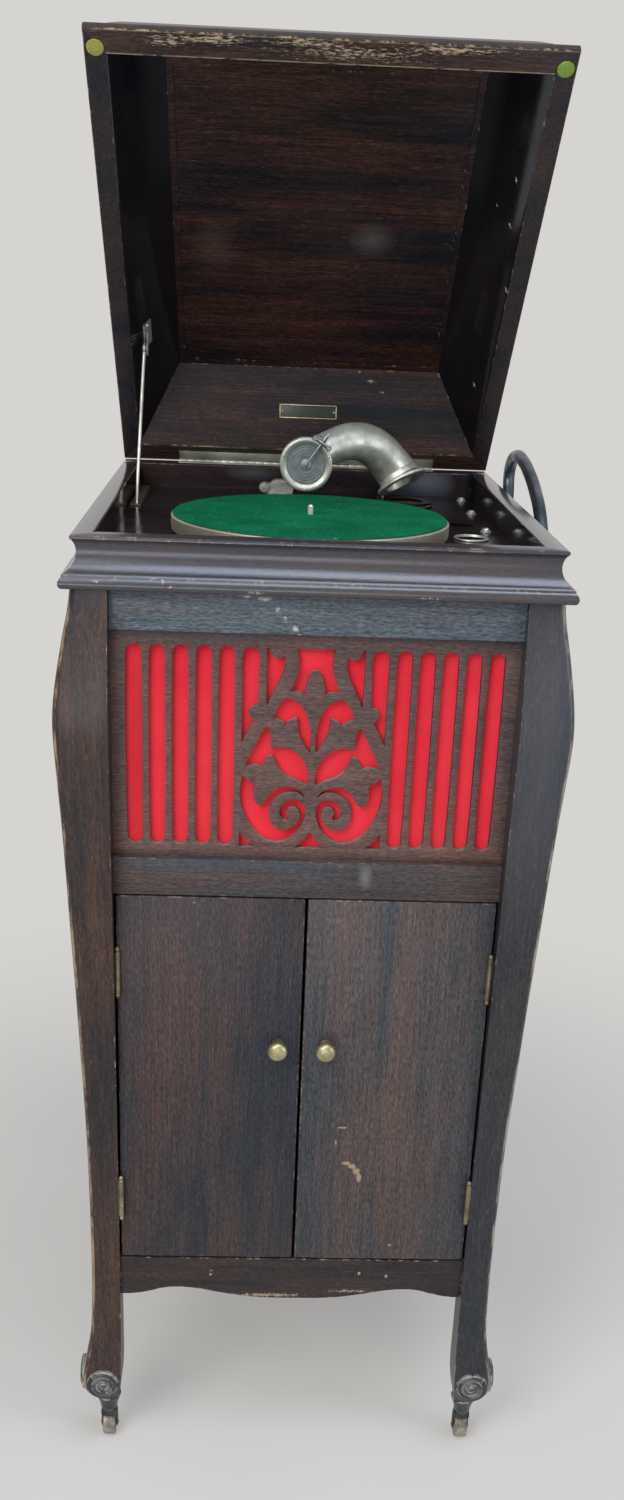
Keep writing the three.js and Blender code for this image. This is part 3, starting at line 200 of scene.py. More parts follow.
# %% Floor and surround
BACKDROP = tint("#d6d4d1")
bpy.ops.object.select_all(action="DESELECT")
bpy.ops.mesh.primitive_plane_add(size=80, location=(0, 0, 0))
floor = bpy.context.object
floor.name = "floor"
paper, tree, shader, where = blank("studio_floor")
mottle = ramp(tree, noise(tree, where, 3.0), (0.3, "#d9d7d4"), (0.7, "#dedcd9"))
feed(tree, shader, {"Base Color": mottle, "Roughness": 0.9, "Specular IOR Level": 0.1})
away = add(tree, "VectorMath", {0: where}, operation="LENGTH").outputs["Value"]
far = remap(tree, away, 0.35, 1.5, 0.4, interpolation_type="SMOOTHSTEP")
veil = maths(tree, "MULTIPLY", far, seen_directly(tree))
glow = add(tree, "Emission", {"Color": BACKDROP, "Strength": 1.0})
faded = add(tree, "MixShader", {"Fac": veil, 1: shader.outputs["BSDF"], 2: glow.outputs[0]})
tree.links.new(faded.outputs[0], tree.nodes["Material Output"].inputs["Surface"])
floor.data.materials.append(paper)

world = bpy.data.worlds.new("studio_surround")
bpy.context.scene.world = world
world.use_nodes = True
tree = world.node_tree
tree.nodes.clear()
lit = add(tree, "Background", {"Color": tint("#c9ccd2"), "Strength": 0.45})
seen = add(tree, "Background", {"Color": BACKDROP, "Strength": 1.0})
mix = add(tree, "MixShader", {"Fac": seen_directly(tree), 1: lit.outputs[0], 2: seen.outputs[0]})
add(tree, "OutputWorld", {"Surface": mix.outputs[0]})


def softbox(name, at, aim, size, watts, colour="#ffffff"):
    """A rectangular studio lamp at one place, aimed at another."""
    lamp = bpy.data.lights.new(name, "AREA")
    lamp.shape = "RECTANGLE"
    lamp.size, lamp.size_y = size
    lamp.energy = watts
    lamp.color = tint(colour)[:3]
    holder = bpy.data.objects.new(name, lamp)
    holder.location = at
    holder.rotation_euler = (Vector(aim) - Vector(at)).to_track_quat("-Z", "Y").to_euler()
    bpy.context.collection.objects.link(holder)


softbox("key_softbox", (-1.6, -2.4, 2.9), (0, 0, 0.8), (1.6, 1.6), 62, "#fffdf8")
softbox("top_softbox", (0.4, -0.9, 3.4), (0, 0, 1.0), (2.2, 1.2), 42, "#eef3ff")
softbox("right_fill", (2.6, -1.6, 1.5), (0, 0, 0.7), (1.2, 1.8), 22, "#f2f5ff")
softbox("low_fill", (-0.6, -3.0, 0.7), (0, 0, 0.5), (2.0, 1.0), 16)
bpy.context.scene.view_settings.view_transform = "Standard"

# %% [markdown]
# ## Modelling by hand, in code
# Every piece starts as a primitive and is shaped in edit mode, as one would by hand.
# These helpers keep the pieces short: some enter and leave edit mode, one pulls the
# selection out, one picks edges or points by a test on their place, and one finishes a
# piece. To finish means that its place goes into the mesh, its sharp edges stay sharp,
# and it is tied to a body and a finish.

# %% Hand tools
def alone(obj=None):
    """Leaves only obj selected and active."""
    if bpy.context.mode != "OBJECT":
        bpy.ops.object.mode_set(mode="OBJECT")
    bpy.ops.object.select_all(action="DESELECT")
    if obj is not None:
        obj.select_set(True)
        bpy.context.view_layer.objects.active = obj


def named(name, apply=True):
    """Names the primitive that was just added and applies its size to its mesh."""
    obj = bpy.context.object
    obj.name = obj.data.name = name
    if apply:
        bpy.ops.object.transform_apply(location=True, rotation=True, scale=True)
    return obj


def editing(kind="VERT"):
    """Enters edit mode with everything selected."""
    bpy.ops.object.mode_set(mode="EDIT")
    bpy.ops.mesh.select_mode(type=kind)
    bpy.ops.mesh.select_all(action="SELECT")


def edited():
    """Turns all faces outwards and leaves edit mode."""
    bpy.ops.mesh.select_all(action="SELECT")
    bpy.ops.mesh.normals_make_consistent(inside=False)
    bpy.ops.object.mode_set(mode="OBJECT")


def pull(x, y, z):
    """Extrudes the selection by a step in millimetres."""
    bpy.ops.mesh.extrude_region_move(TRANSFORM_OT_translate={"value": (x * MM, y * MM, z * MM)})


def pick(obj, kind, test):
    """In edit mode, selects only the vertices or edges that pass the test."""
    bpy.ops.mesh.select_mode(type={"vertices": "VERT", "edges": "EDGE"}[kind])
    bpy.ops.mesh.select_all(action="DESELECT")
    bpy.ops.object.mode_set(mode="OBJECT")
    for item in getattr(obj.data, kind):
        item.select = bool(test(item))
    bpy.ops.object.mode_set(mode="EDIT")


def modified(obj, name, kind, **settings):
    """Adds one modifier with its settings and applies it."""
    modifier = obj.modifiers.new(name, kind)
    for key, value in settings.items():
        setattr(modifier, key, value)
    alone(obj)
    bpy.ops.object.modifier_apply(modifier=modifier.name)


def soften(obj, width, angle=35):
    """Rounds every edge sharper than the angle by a width in millimetres."""
    modified(obj, "softened edges", "BEVEL", width=width * MM, segments=2, limit_method="ANGLE",
             angle_limit=math.radians(angle), use_clamp_overlap=True)


def combine(obj, operation, other):
    """Cuts another solid out of a piece or joins it on, and throws the other away."""
    modified(obj, "cut", "BOOLEAN", operation=operation, solver="EXACT", object=other)
    bpy.data.objects.remove(other)


def glue(name, *pieces):
    """Joins pieces of one body into one object."""
    alone(pieces[0])
    for piece in pieces:
        piece.select_set(True)
    bpy.ops.object.join()
    pieces[0].name = pieces[0].data.name = name
    return pieces[0]


def painted(obj, *finishes):
    """Puts finishes into a piece's first slots."""
    slots = obj.data.materials
    while len(slots) < len(finishes):
        slots.append(None)
    for index, finish in enumerate(finishes):
        slots[index] = finish
    return obj


def done(obj, body, slot, *finishes, angle=35, stands_for=None):
    """Smooths a finished piece, gives it its finish and ties it to its body."""
    alone(obj)
    bpy.ops.object.transform_apply(location=True, rotation=True, scale=True)
    bpy.ops.object.shade_smooth_by_angle(angle=math.radians(angle))
    painted(obj, *finishes)
    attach(obj, body)
    if stands_for:
        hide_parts(stands_for)


def upright(obj):
    """Merges doubles and turns all faces outwards."""
    alone(obj)
    editing()
    bpy.ops.mesh.remove_doubles(threshold=1e-6)
    edited()


print("hand tools ready")

# %% [markdown]
# Three shapes come up again and again in cabinet work. A board is a cube with softened
# edges. A turned piece is a profile spun about an axis, as on a lathe. A fretted board
# is a flat outline with holes, sawn out and given its thickness. Bars and springs are
# a fourth: a round section along a curve.

# %% Board, lathe and fretsaw
def spin(degrees, axis):
    """A turn about one axis."""
    return Matrix.Rotation(math.radians(degrees), 4, axis)


def put(at, turn=Matrix.Identity(4)):
    """Takes a piece that was drawn about the drawing's own zero to another place."""
    return Matrix.Translation(place(*at)) @ turn @ Matrix.Translation(-CENTRE)


def mirrored(line, across=-1, along=1):
    """A line of (across, along) points followed by its own mirror image."""
    return line + [(across * u, along * v) for u, v in reversed(line)]


def board(name, low, high, edge=0.8):
    """A box between two corners of the drawing, with its edges eased."""
    a, b = place(*low), place(*high)
    alone()
    bpy.ops.mesh.primitive_cube_add(size=1, location=(a + b) / 2, scale=b - a)
    obj = named(name)
    if edge:
        soften(obj, edge)
    return obj


def drawn(name, points):
    """A line through points in local millimetres, left in edit mode. One vertex is extruded."""
    alone()
    bpy.ops.mesh.primitive_plane_add(size=1)
    obj = named(name, apply=False)
    bpy.ops.object.mode_set(mode="EDIT")
    pick(obj, "vertices", lambda v: v.index > 0)
    bpy.ops.mesh.delete(type="VERT")
    bpy.ops.object.mode_set(mode="OBJECT")
    obj.data.vertices[0].co = [c * MM for c in points[0]]
    editing()
    for start, end in zip(points, points[1:]):
        pull(*(b - a for a, b in zip(start, end)))
    bpy.ops.mesh.select_all(action="SELECT")
    return obj


LATHE = {"z": Matrix.Identity(4), "x": spin(90, "Y"), "y": spin(-90, "X"), "-y": spin(90, "X"),
    "-x": spin(-90, "Y")}


def turned(name, profile, at, axis="z", steps=48):
    """A closed lathe form: profile points are (radius, height) along the axis."""
    obj = drawn(name, [(radius, 0, height) for radius, height in profile])
    bpy.ops.mesh.spin(steps=steps, angle=2 * math.pi, center=(0, 0, 0), axis=(0, 0, 1))
    bpy.ops.mesh.select_all(action="SELECT")
    bpy.ops.mesh.remove_doubles(threshold=1e-6)
    edited()
    obj.data.transform(Matrix.Translation(place(*at)) @ LATHE[axis])
    return obj


def as_mesh(name, curve):
    """A curve as a mesh object."""
    obj = bpy.data.objects.new(name, curve)
    bpy.context.collection.objects.link(obj)
    alone(obj)
    bpy.ops.object.convert(target="MESH")
    return named(name, apply=False)


def sawn(name, outlines, front, thick, edge=0.6, corner=48, resolution=5):
    """A board sawn to outlines in X and Z. Points that turn by more than corner stay sharp."""
    curve = bpy.data.curves.new(name, "CURVE")
    curve.dimensions = "2D"
    curve.fill_mode = "BOTH"
    curve.resolution_u = resolution
    curve.extrude = thick * MM / 2
    for points in outlines:
        spline = curve.splines.new("BEZIER")
        spline.bezier_points.add(len(points) - 1)
        spline.use_cyclic_u = True
        for i, knot in enumerate(spline.bezier_points):
            before, point, after = (Vector(points[(i + k) % len(points)]) for k in (-1, 0, 1))
            sharp = (point - before).angle(after - point, 0.0) > math.radians(corner)
            knot.co = (points[i][0] * MM, points[i][1] * MM, 0)
            knot.handle_left_type = knot.handle_right_type = "VECTOR" if sharp else "AUTO"
    obj = as_mesh(name, curve)
    obj.data.transform(Matrix.Translation(place(0, front + thick / 2, 0)) @ LATHE["-y"])
    upright(obj)
    soften(obj, edge, 50)
    return obj


def rod(name, points, radius, sides=12, radii=None):
    """A bar along a smooth line through drawing points; radii can swell it point by point."""
    curve = bpy.data.curves.new(name, "CURVE")
    curve.dimensions = "3D"
    curve.bevel_depth = radius * MM
    curve.bevel_resolution = max(1, sides // 4)
    curve.use_fill_caps = True
    curve.resolution_u = 6
    spline = curve.splines.new("BEZIER")
    spline.bezier_points.add(len(points) - 1)
    for i, knot in enumerate(spline.bezier_points):
        knot.co = place(*points[i])
        knot.handle_left_type = knot.handle_right_type = "AUTO"
        knot.radius = radii[i] / radius if radii else 1.0
    obj = as_mesh(name, curve)
    upright(obj)
    return obj


print("shop tools ready")

# %% [markdown]
# ## The finishes
# The case is birch or gum stained almost black-brown to pass for mahogany. The stain
# lies unevenly along the grain: warm brown streaks show between cold black ones, hair
# lines run through both, the pores make a fine speckle, and old varnish gives a dull
# gloss. So the noises are squeezed across the grain and stretched along it. Wear is
# painted last. The Bevel node finds the edges, because its rounded normal leaves the
# true one there. A post's rounded outer arris is found by its diagonal normal. Scars
# are soft spots at measured places where the chips lie close together.

# %% Stained wood
def near(tree, where, centre, radii, inner, peak):
    """A soft spot: peak inside, nothing beyond the radii (millimetres)."""
    offset = add(tree, "VectorMath", {0: where, 1: place(*centre)}, operation="SUBTRACT").outputs[0]
    narrow = [1 / (r * MM) for r in radii]
    shape = add(tree, "VectorMath", {0: offset, 1: narrow}, operation="MULTIPLY").outputs[0]
    reach = add(tree, "VectorMath", {0: shape}, operation="LENGTH").outputs["Value"]
    return remap(tree, reach, inner, 1.0, peak, 0.0)


def squeezed(tree, where, grain, amount):
    """The place with one axis squeezed, so that a noise on it runs long along the grain."""
    scale = [amount if axis == grain else 1.0 for axis in "xyz"]
    return add(tree, "Mapping", {"Vector": where, "Scale": scale}).outputs[0]


def stained_wood(name, grain, cold, warm, pale="#a88a68", streak=9.0, gloss=0.42, wear=0.5,
                 speckle=0.4, bias=0.5, hair=0.26, arris=0.0, scars=(), scratchy=False,
                 tone_spots_and_painted_light=(), flecks=0.16, polish=0.35):
    """Stained wood with its grain along x, y or z; streak is the streaks' width in millimetres."""
    material, tree, shader, where = blank(name)
    laid, dashes = squeezed(tree, where, grain, 0.04), squeezed(tree, where, grain, 0.22)
    broad = noise(tree, laid, patches(streak * 1.6), 5.0, 0.62, Distortion=0.25)
    fine = noise(tree, laid, patches(1.2), 3.0, 0.75)
    figure = maths(tree, "ADD", broad, noise(tree, dashes, patches(26), 3.0, 0.6))
    shift = (0.5 - bias) * 0.4
    stain = mixed(tree, remap(tree, figure, 0.78 + shift, 1.24 + shift), tint(cold), tint(warm))
    # pores and hair lines: drawn a little coarser than life so that they show
    pore = noise(tree, dashes, patches(0.8), 2.0, 0.6)
    grainy = maths(tree, "MULTIPLY", remap(tree, pore, 0.35, 0.66, 1.0 - speckle, 1.0 + speckle * 0.8),
                   remap(tree, fine, 0.34, 0.66, 1.0 - hair, 1.0 + hair))
    toned = add(tree, "VectorMath", {0: stain, "Scale": grainy}, operation="SCALE").outputs[0]
    fleck = noise(tree, dashes, patches(1.6), 4.0, 0.7)
    toned = mixed(tree, remap(tree, fleck, 0.64, 0.76, 0.0, flecks), toned, tint(pale))
    # tone spots: soft patches mixed towards another colour; some are marks in the finish, others are painted
    # highlights and painted reflections
    for centre, radii, amount, colour in tone_spots_and_painted_light:
        toned = mixed(tree, near(tree, where, centre, radii, 0.0, amount), toned, tint(colour))
    # edges: the rounded normal leaves the true one there
    true_normal = add(tree, "NewGeometry").outputs["Normal"]
    rounded = add(tree, "Bevel", {"Radius": 0.0024}, samples=4).outputs[0]
    turn = add(tree, "VectorMath", {0: rounded, 1: true_normal}, operation="DOT_PRODUCT").outputs["Value"]
    chip = noise(tree, where, patches(5.2), 6.0, 0.68)
    rubbed = maths(tree, "MULTIPLY", remap(tree, turn, 0.99, 0.92),
                   remap(tree, chip, 0.66 - wear * 0.22, 0.74 - wear * 0.2))
    if arris:
        axes = add(tree, "SeparateXYZ", {"Vector": true_normal}).outputs
        diagonal = maths(tree, "ABSOLUTE", maths(tree, "MULTIPLY", axes["X"], axes["Y"]))
        patchy = noise(tree, dashes, patches(6.0), 5.0, 0.75)
        worn = remap(tree, patchy, 0.60 - arris * 0.16, 0.72 - arris * 0.16, 0.0, 0.75)
        ridge = maths(tree, "MULTIPLY", remap(tree, diagonal, 0.36, 0.49), worn)
        rubbed = maths(tree, "MAXIMUM", rubbed, ridge)
    nick = noise(tree, dashes if scratchy else where, patches(0.8 if scratchy else 1.3), 5.0, 0.75)
    for centre, radii, *depth in scars:
        spot = near(tree, where, centre, radii, 0.15, depth[0] if depth else 0.36)
        scar = remap(tree, maths(tree, "ADD", spot, nick), 0.80, 0.88, 0.0, 0.8)
        rubbed = maths(tree, "MAXIMUM", rubbed, scar)
    feed(tree, shader, {
        "Base Color": mixed(tree, rubbed, toned, tint(pale)),
        "Roughness": remap(tree, fine, 0.3, 0.7, gloss * 0.85, gloss * 1.2),
        "Normal": bumpy(tree, maths(tree, "ADD", fine, pore), min(0.22, gloss * 0.6), 0.0005),
        "Specular IOR Level": polish, "Specular Tint": tint("#dfe8f6")})
    return material


FACE = -288.0


def on_front(*spots):
    """Spots (x, z, half width, half height, ...) on the front's face, as centres and radii."""
    return [((x, FACE, z), (wide, 9, high), *more) for x, z, wide, high, *more in spots]


case_along_x = stained_wood("rail_mahogany_stain", "x", "#3a3c41", "#53423b", wear=0.5,
    tone_spots_and_painted_light=on_front((60, 775, 9, 17, 0.5, "#8a8a86")))
case_upright = stained_wood("case_mahogany_stain", "z", "#25272b", "#40302b", wear=0.35)
apron_stain = stained_wood("apron_mahogany_stain", "x", "#232123", "#41322b", wear=0.6, pale="#b3a48c",
    scars=on_front((-97, 264, 5, 3), (-30, 229, 95, 6, 0.42), (70, 236, 60, 5, 0.38), (80, 262, 4, 4, 0.55),
    (112, 259, 4, 5, 0.5), (-97, 258, 3, 4, 0.55)))
rail_blue = stained_wood("rail_black_stain", "x", "#545e68", "#5a585b", wear=0.3, streak=12, pale="#c4c4c2",
    speckle=0.5, hair=0.3, flecks=0.08, scars=on_front((-52, 1064, 14, 5, 0.42), (-40, 1055, 6, 8, 0.4),
    (-32, 1046, 5, 9, 0.42), (-22, 1036, 8, 6, 0.44), (-70, 1066, 11, 4, 0.4)))
RIM_SCARS = [((-150, -301, 1081), (5, 8, 9)), ((-143, -304, 1076), (5, 8, 4)),
    ((-62, -303, 1073), (22, 8, 5)), ((105, -303, 1073), (30, 8, 3)), ((-215, -302, 1079), (14, 8, 4))]
rim_along_x = stained_wood("rim_glossy_stain_x", "x", "#2e333b", "#473c3b", gloss=0.24, wear=0.5, speckle=0.2,
    hair=0.12, pale="#b79a7c", flecks=0.05, polish=0.9, scars=RIM_SCARS)
rim_along_y = stained_wood("rim_glossy_stain_y", "y", "#2a2f37", "#41383a", gloss=0.14, wear=0.45,
    speckle=0.2, hair=0.12, pale="#c3bab0", flecks=0.05, polish=0.9)
rim_rear = stained_wood("rim_rear_dull_stain", "x", "#1d1a1d", "#3b2a23", gloss=0.6, wear=0.5, pale="#a0743f",
    polish=0.15)
# the well's back wall gets two blue-grey tone spots that are painted reflections: a strong one right of the
# tonearm and a faint one on the left
well_stain_and_reflections_x = stained_wood("well_stain_x_painted_reflections", "x", "#201c22", "#392826", gloss=0.2, wear=0.4, speckle=0.3,
    hair=0.3, tone_spots_and_painted_light=[((152, 266, 1106), (46, 9, 26), 0.7, "#8d97a8"),
    ((-70, 266, 1112), (40, 9, 12), 0.3, "#7d8490")])
well_along_y = stained_wood("well_stain_y", "y", "#0d0c10", "#191517", gloss=0.07, wear=0.2, speckle=0.15,
    hair=0.1, flecks=0.03, polish=0.6)
left_door_stain = stained_wood("left_door_mahogany_stain", "z", "#2d2f34", "#4c3a35", streak=8, gloss=0.44,
    wear=0.6, bias=0.5, pale="#a08870", speckle=0.45, hair=0.3,
    scars=on_front((-118, 742, 5, 4), (-1, 516, 5, 250, 0.33)))
right_door_stain = stained_wood("right_door_mahogany_stain", "z", "#3d3f43", "#584944", streak=8, gloss=0.44,
    wear=0.6, bias=0.48, pale="#b0967c", speckle=0.45, hair=0.3,
    tone_spots_and_painted_light=on_front((95, 452, 62, 1.4, 0.6, "#2c2a2b")), scars=on_front((51, 466, 14, 3, 0.42),
    (44, 446, 3, 12, 0.4), (57, 418, 9, 4, 0.6), (64, 414, 8, 5, 0.66), (69, 407, 7, 8, 0.66),
    (72.5, 399, 5, 11, 0.62), (114, 304, 4, 3, 0.6), (1, 516, 5, 250, 0.33)))
fret_stain = stained_wood("fret_worn_stain", "x", "#493e3f", "#634b43", streak=16, gloss=0.5, wear=0.2,
    hair=0.22)
left_post_stain = stained_wood("left_post_mahogany_stain", "z", "#222021", "#483226", wear=0.4, streak=7,
    arris=1.0, hair=0.36, gloss=0.34, polish=0.45, pale="#b79c7c")
# the right post's grey tone spot high on its bulge is a painted highlight
right_post_stain_and_highlight = stained_wood("right_post_mahogany_stain_painted_highlight", "z", "#24282e", "#3b3431", wear=0.4, streak=8,
    arris=0.9, gloss=0.32, polish=0.5, pale="#b4aa9a", tone_spots_and_painted_light=[((232, -300, 930), (55, 50, 230), 0.4,
    "#62666d")])
scroll_stain = stained_wood("scroll_black_stain", "z", "#22252b", "#313136", wear=1.15, streak=8, gloss=0.3,
    polish=0.6, pale="#b8b2a8")
print("wood finishes made:", sum("stain" in m.name for m in bpy.data.materials))

# %% [markdown]
# The lid has six looks. Its ceiling panel is red-brown with the grain across, with two
# paler spots. Its back slope is cooler and more worn. The side slopes are black and so
# glossy that they mirror their neighbours. The lip's long front is rubbed to tan in
# scratches, its sides less so, and the outside is worn along its edges. The scars'
# places are on the open lid, as the frame holds it. The last finish here is bare wood,
# for what stands inside the cabinet.

# %% Wood of the lid
lid_inside_stain = stained_wood("lid_inside_stain", "x", "#201d23", "#4c3129", streak=7, gloss=0.34, wear=0.3,
    bias=0.47, pale="#c5b8a8", speckle=0.5, hair=0.45, tone_spots_and_painted_light=[((64, 168, 1392), (30, 24, 28), 0.45,
    "#777373"), ((-121, 179, 1380), (30, 34, 60), 0.34, "#6b5c50")])
lid_slope_stain = stained_wood("lid_back_slope_stain", "x", "#0e1015", "#402a23", streak=5, gloss=0.3,
    wear=0.5, hair=0.6, speckle=0.6, pale="#c0b09c", scars=[((81, 295, 1228), (14, 8, 7)),
    ((95, 292, 1215), (9, 8, 4)), ((64, 298, 1239), (7, 6, 4))])
lid_side_stain = stained_wood("lid_side_stain", "y", "#14151a", "#1f1a1c", streak=10, gloss=0.07, wear=0.25,
    speckle=0.15, hair=0.15, flecks=0.05, pale="#d0ccc2", polish=0.6,
    scars=[((205, 27, 1453), (10, 6, 10)), ((208, 60, 1411), (8, 5, 13)), ((216, 100, 1345), (7, 6, 9)),
    ((204, 223, 1233), (10, 8, 10)), ((194, 73, 1431), (5, 4, 5))])
lid_lip_x = stained_wood("lid_lip_stain_x", "x", "#302a2c", "#50392f", gloss=0.3, wear=1.3, hair=0.45,
    pale="#cdb89c", scratchy=True, scars=[((-120, -90, 1556), (110, 12, 11), 0.35),
    ((-20, -91, 1557), (110, 11, 10), 0.34), ((110, -91, 1556), (130, 10, 10), 0.34),
    ((-160, -88, 1553), (50, 14, 14), 0.34), ((20, -86, 1550), (200, 20, 20), 0.3)])
lid_lip_y = stained_wood("lid_lip_stain_y", "y", "#202126", "#3a2d29", gloss=0.3, wear=0.55, hair=0.3,
    pale="#a08a70")
lid_outside_stain = stained_wood("lid_outside_stain", "y", "#1f1d20", "#35261f", gloss=0.3, wear=0.7,
    pale="#bfa27e")
plain_inside = stained_wood("unfinished_inner_wood", "y", "#5a4433", "#7b6148", gloss=0.7, wear=0.1,
    speckle=0.25)
print("lid finishes made")

# %% [markdown]
# The board under the turntable is lacquered black and polished, so it mirrors the
# turntable's rim. The lacquer is clear and thin: a dark base with a low roughness and a
# few dusty, duller patches.

# %% Black lacquer
black_lacquer, tree, shader, where = blank("black_lacquered_board")
dust = noise(tree, where, 28.0, 6.0, 0.65)
feed(tree, shader, {"Base Color": ramp(tree, dust, (0.35, "#0e0d12"), (0.75, "#221a1b")),
                    "Roughness": remap(tree, dust, 0.4, 0.8, 0.12, 0.34), "Specular IOR Level": 0.55})
print("lacquer made")

# %% [markdown]
# The fittings were nickel plated and have gone grey: soundbox, tonearm, stay, hinges and
# the turntable's rim. Plain nickel is bright and warm. Age gives it cloudy patches,
# where the plate is duller and darker, and a few brown specks. The knobs and door hinges
# are brass, with a brown bloom over most of it.

# %% Old plated metals
def aged_metal(name, bright, dark, speck, patch=18.0, shine=0.3, dullness=0.3, metallic=0.9):
    """Metal with cloudy patches of tarnish and a scatter of specks; patch is in millimetres."""
    material, tree, shader, where = blank(name)
    cloud = noise(tree, where, patches(patch * 1.2), 6.0, 0.62)
    grit = noise(tree, where, 420.0, 3.0, 0.7)
    plate = mixed(tree, remap(tree, cloud, 0.36, 0.66), tint(bright), tint(dark))
    feed(tree, shader, {
        "Base Color": mixed(tree, remap(tree, grit, 0.66, 0.71), plate, tint(speck)), "Metallic": metallic,
        "Roughness": remap(tree, cloud, 0.3, 0.7, shine, shine + dullness),
        "Normal": bumpy(tree, grit, 0.12, 0.0003)})
    return material


old_nickel = aged_metal("old_nickel_plate", "#c6c7bf", "#8a8c85", "#5a4c3c", metallic=0.75)
bright_nickel = aged_metal("bright_nickel_plate", "#cfd1c8", "#9b9d95", "#5a4c3c", shine=0.28, dullness=0.25,
    metallic=0.7)
spindle_nickel = aged_metal("bright_spindle_nickel", "#f0efe8", "#cfcec6", "#8a8478", shine=0.22,
    metallic=0.6)
platter_nickel = aged_metal("turntable_rim_nickel", "#c2bfae", "#98958a", "#6b5f4a", patch=30, shine=0.42,
    dullness=0.2)
aged_brass = aged_metal("aged_brass", "#c6bf9a", "#837b55", "#4c4024", patch=12, shine=0.3, dullness=0.2)
hinge_brass = aged_metal("hinge_brass", "#9a9078", "#625844", "#352d22", patch=9, shine=0.4)
# a darker brass for the knob's neck: painted shade under the knob's head
knob_shade = aged_metal("knob_neck_painted_shade", "#5d5642", "#37321f", "#2a2418", patch=9, shine=0.42)
dark_steel = aged_metal("dark_steel", "#aeb3b6", "#6c7176", "#3b332b", shine=0.28)
crank_steel = aged_metal("crank_blue_steel", "#687480", "#3b434d", "#3a3430", shine=0.28)
rough_iron = aged_metal("rough_cast_iron", "#5c5f5f", "#35373a", "#2a2622", patch=8, shine=0.45,
    metallic=0.75)
caster_iron = aged_metal("worn_caster_iron", "#b5aca0", "#6d655c", "#463d34", patch=7, shine=0.45,
    metallic=0.5)
arm_metal = aged_metal("pewter_arm", "#d9ddd3", "#a2a59b", "#5d5243", patch=9, shine=0.3, dullness=0.22,
    metallic=0.55)
print("metals made")

# %% [markdown]
# The turntable wears a green felt: matted wool with no weave. It scatters light almost
# evenly, has next to no gloss, and shows small lighter and darker flecks of fluff.

# %% Felts
def wool_felt(name, deep, light, fleck):
    """Matted wool in soft patches of two tones, with lint on it."""
    material, tree, shader, where = blank(name)
    fibre = noise(tree, where, 380.0, 4.0, 0.75)
    both = maths(tree, "ADD", fibre, noise(tree, where, 22.0, 3.0))
    wool = mixed(tree, remap(tree, both, 0.75, 1.25), tint(deep), tint(light))
    lint = remap(tree, noise(tree, where, 240.0), 0.64, 0.74, 0.0, 0.55)
    feed(tree, shader, {"Base Color": mixed(tree, lint, wool, tint(fleck)), "Roughness": 0.95,
                        "Specular IOR Level": 0.02, "Normal": bumpy(tree, fibre, 0.5, 0.0008)})
    return material


green_felt = wool_felt("green_turntable_felt", "#0a5036", "#136e49", "#62a286")
left_buffer_felt = wool_felt("yellow_buffer_felt", "#96924a", "#b0ac64", "#c9c594")
right_buffer_felt = wool_felt("green_buffer_felt", "#7a9440", "#93ab52", "#b6c686")
print("felts made")

# %% [markdown]
# Behind the fretwork hangs a red cloth: a plain weave with a thread about every half
# millimetre. That is too fine to show, so it is drawn at 1.6 mm. Two waves crossed at a
# right angle make the weave, and a soft cloud makes the cloth sag a little in its tone.

# %% Red cloth
THREAD = 1.6
red_cloth, tree, shader, where = blank("red_woven_cloth")
wave = {"Vector": where, "Scale": 2 * math.pi * 1000 / (THREAD * 20), "Distortion": 0.6, "Detail Scale": 4.0}
weft, warp = (add(tree, "TexWave", wave, bands_direction=axis).outputs["Fac"] for axis in "ZX")
weave = maths(tree, "MULTIPLY", weft, warp)
tone = remap(tree, maths(tree, "ADD", weave, noise(tree, where, 16.0, 3.0)), 0.3, 1.3)
feed(tree, shader, {"Base Color": mixed(tree, tone, tint("#e01a34"), tint("#f6424a")), "Roughness": 0.9,
    "Specular IOR Level": 0.2, "Sheen Weight": 0.2, "Normal": bumpy(tree, weave, 0.35, 0.0004)})
print("cloth dyed")

# %% [markdown]
# The soundbox has a mica or metal diaphragm with a dark grey bloom. The bare plate on
# the lid is dark lacquer with a thin gilt frame.

# %% Diaphragm, plate and gilt
def bloomed(name, scale, fineness, dark, light, dullness, metallic=0.0):
    """A plain surface with a cloudy bloom between two tones."""
    material, tree, shader, where = blank(name)
    bloom = ramp(tree, noise(tree, where, scale, 5.0, fineness), (0.3, dark), (0.7, light))
    feed(tree, shader, {"Base Color": bloom, "Roughness": dullness, "Metallic": metallic})
    return material


diaphragm_grey = bloomed("grey_diaphragm", 150.0, 0.6, "#666c70", "#858b8e", 0.5, metallic=0.35)
plate_lacquer = bloomed("dark_plate_lacquer", 260.0, 0.5, "#1b211c", "#2c342b", 0.4)
gilt = aged_metal("worn_gilt", "#ddd2a0", "#b3a672", "#54482c", patch=6, shine=0.35, metallic=0.7)
print("finishes:", len(bpy.data.materials))

# %% [markdown]
# ## The nodes that keep their CAD shape
# Boards, panels, decks, horn and motor are plain forms that the frame already has right.
# They only need their finish, which goes into the material slots of the CAD objects.

# %% Finish the kept nodes
KEPT = {
    "motor_board": black_lacquer, "rear_board": black_lacquer, "back_panel": case_upright,
    "left_side_panel": case_upright, "right_side_panel": case_upright, "horn_deck": plain_inside,
    "record_shelf": plain_inside, "cupboard_floor": plain_inside, "sound_horn": plain_inside,
    "spindle": spindle_nickel, "motor_frame": rough_iron, "spring_barrel": dark_steel,
    "governor": aged_brass, "tonearm_base": black_lacquer, "tonearm_collar": black_lacquer,
}
for node_name, finish in KEPT.items():
    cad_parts[node_name].data.materials.clear()
    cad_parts[node_name].data.materials.append(finish)
print("kept nodes:", ", ".join(KEPT))

# %% [markdown]
# ## The rim
# The top rim is four lengths of one moulding, mitred at the corners: a deep cove, a
# small flat and a round bead at the foot. The joiner planes the profile into a long
# batten and saws the ends at 45 degrees, and this cell does the same: a profile drawn
# point by point, filled, pulled out along its length and bisected at both ends. At the
# back the moulding has a rebate for the hinge, and a low rib at each end of the hinge
# closes the gap that the hinge's thickness leaves under the lid.

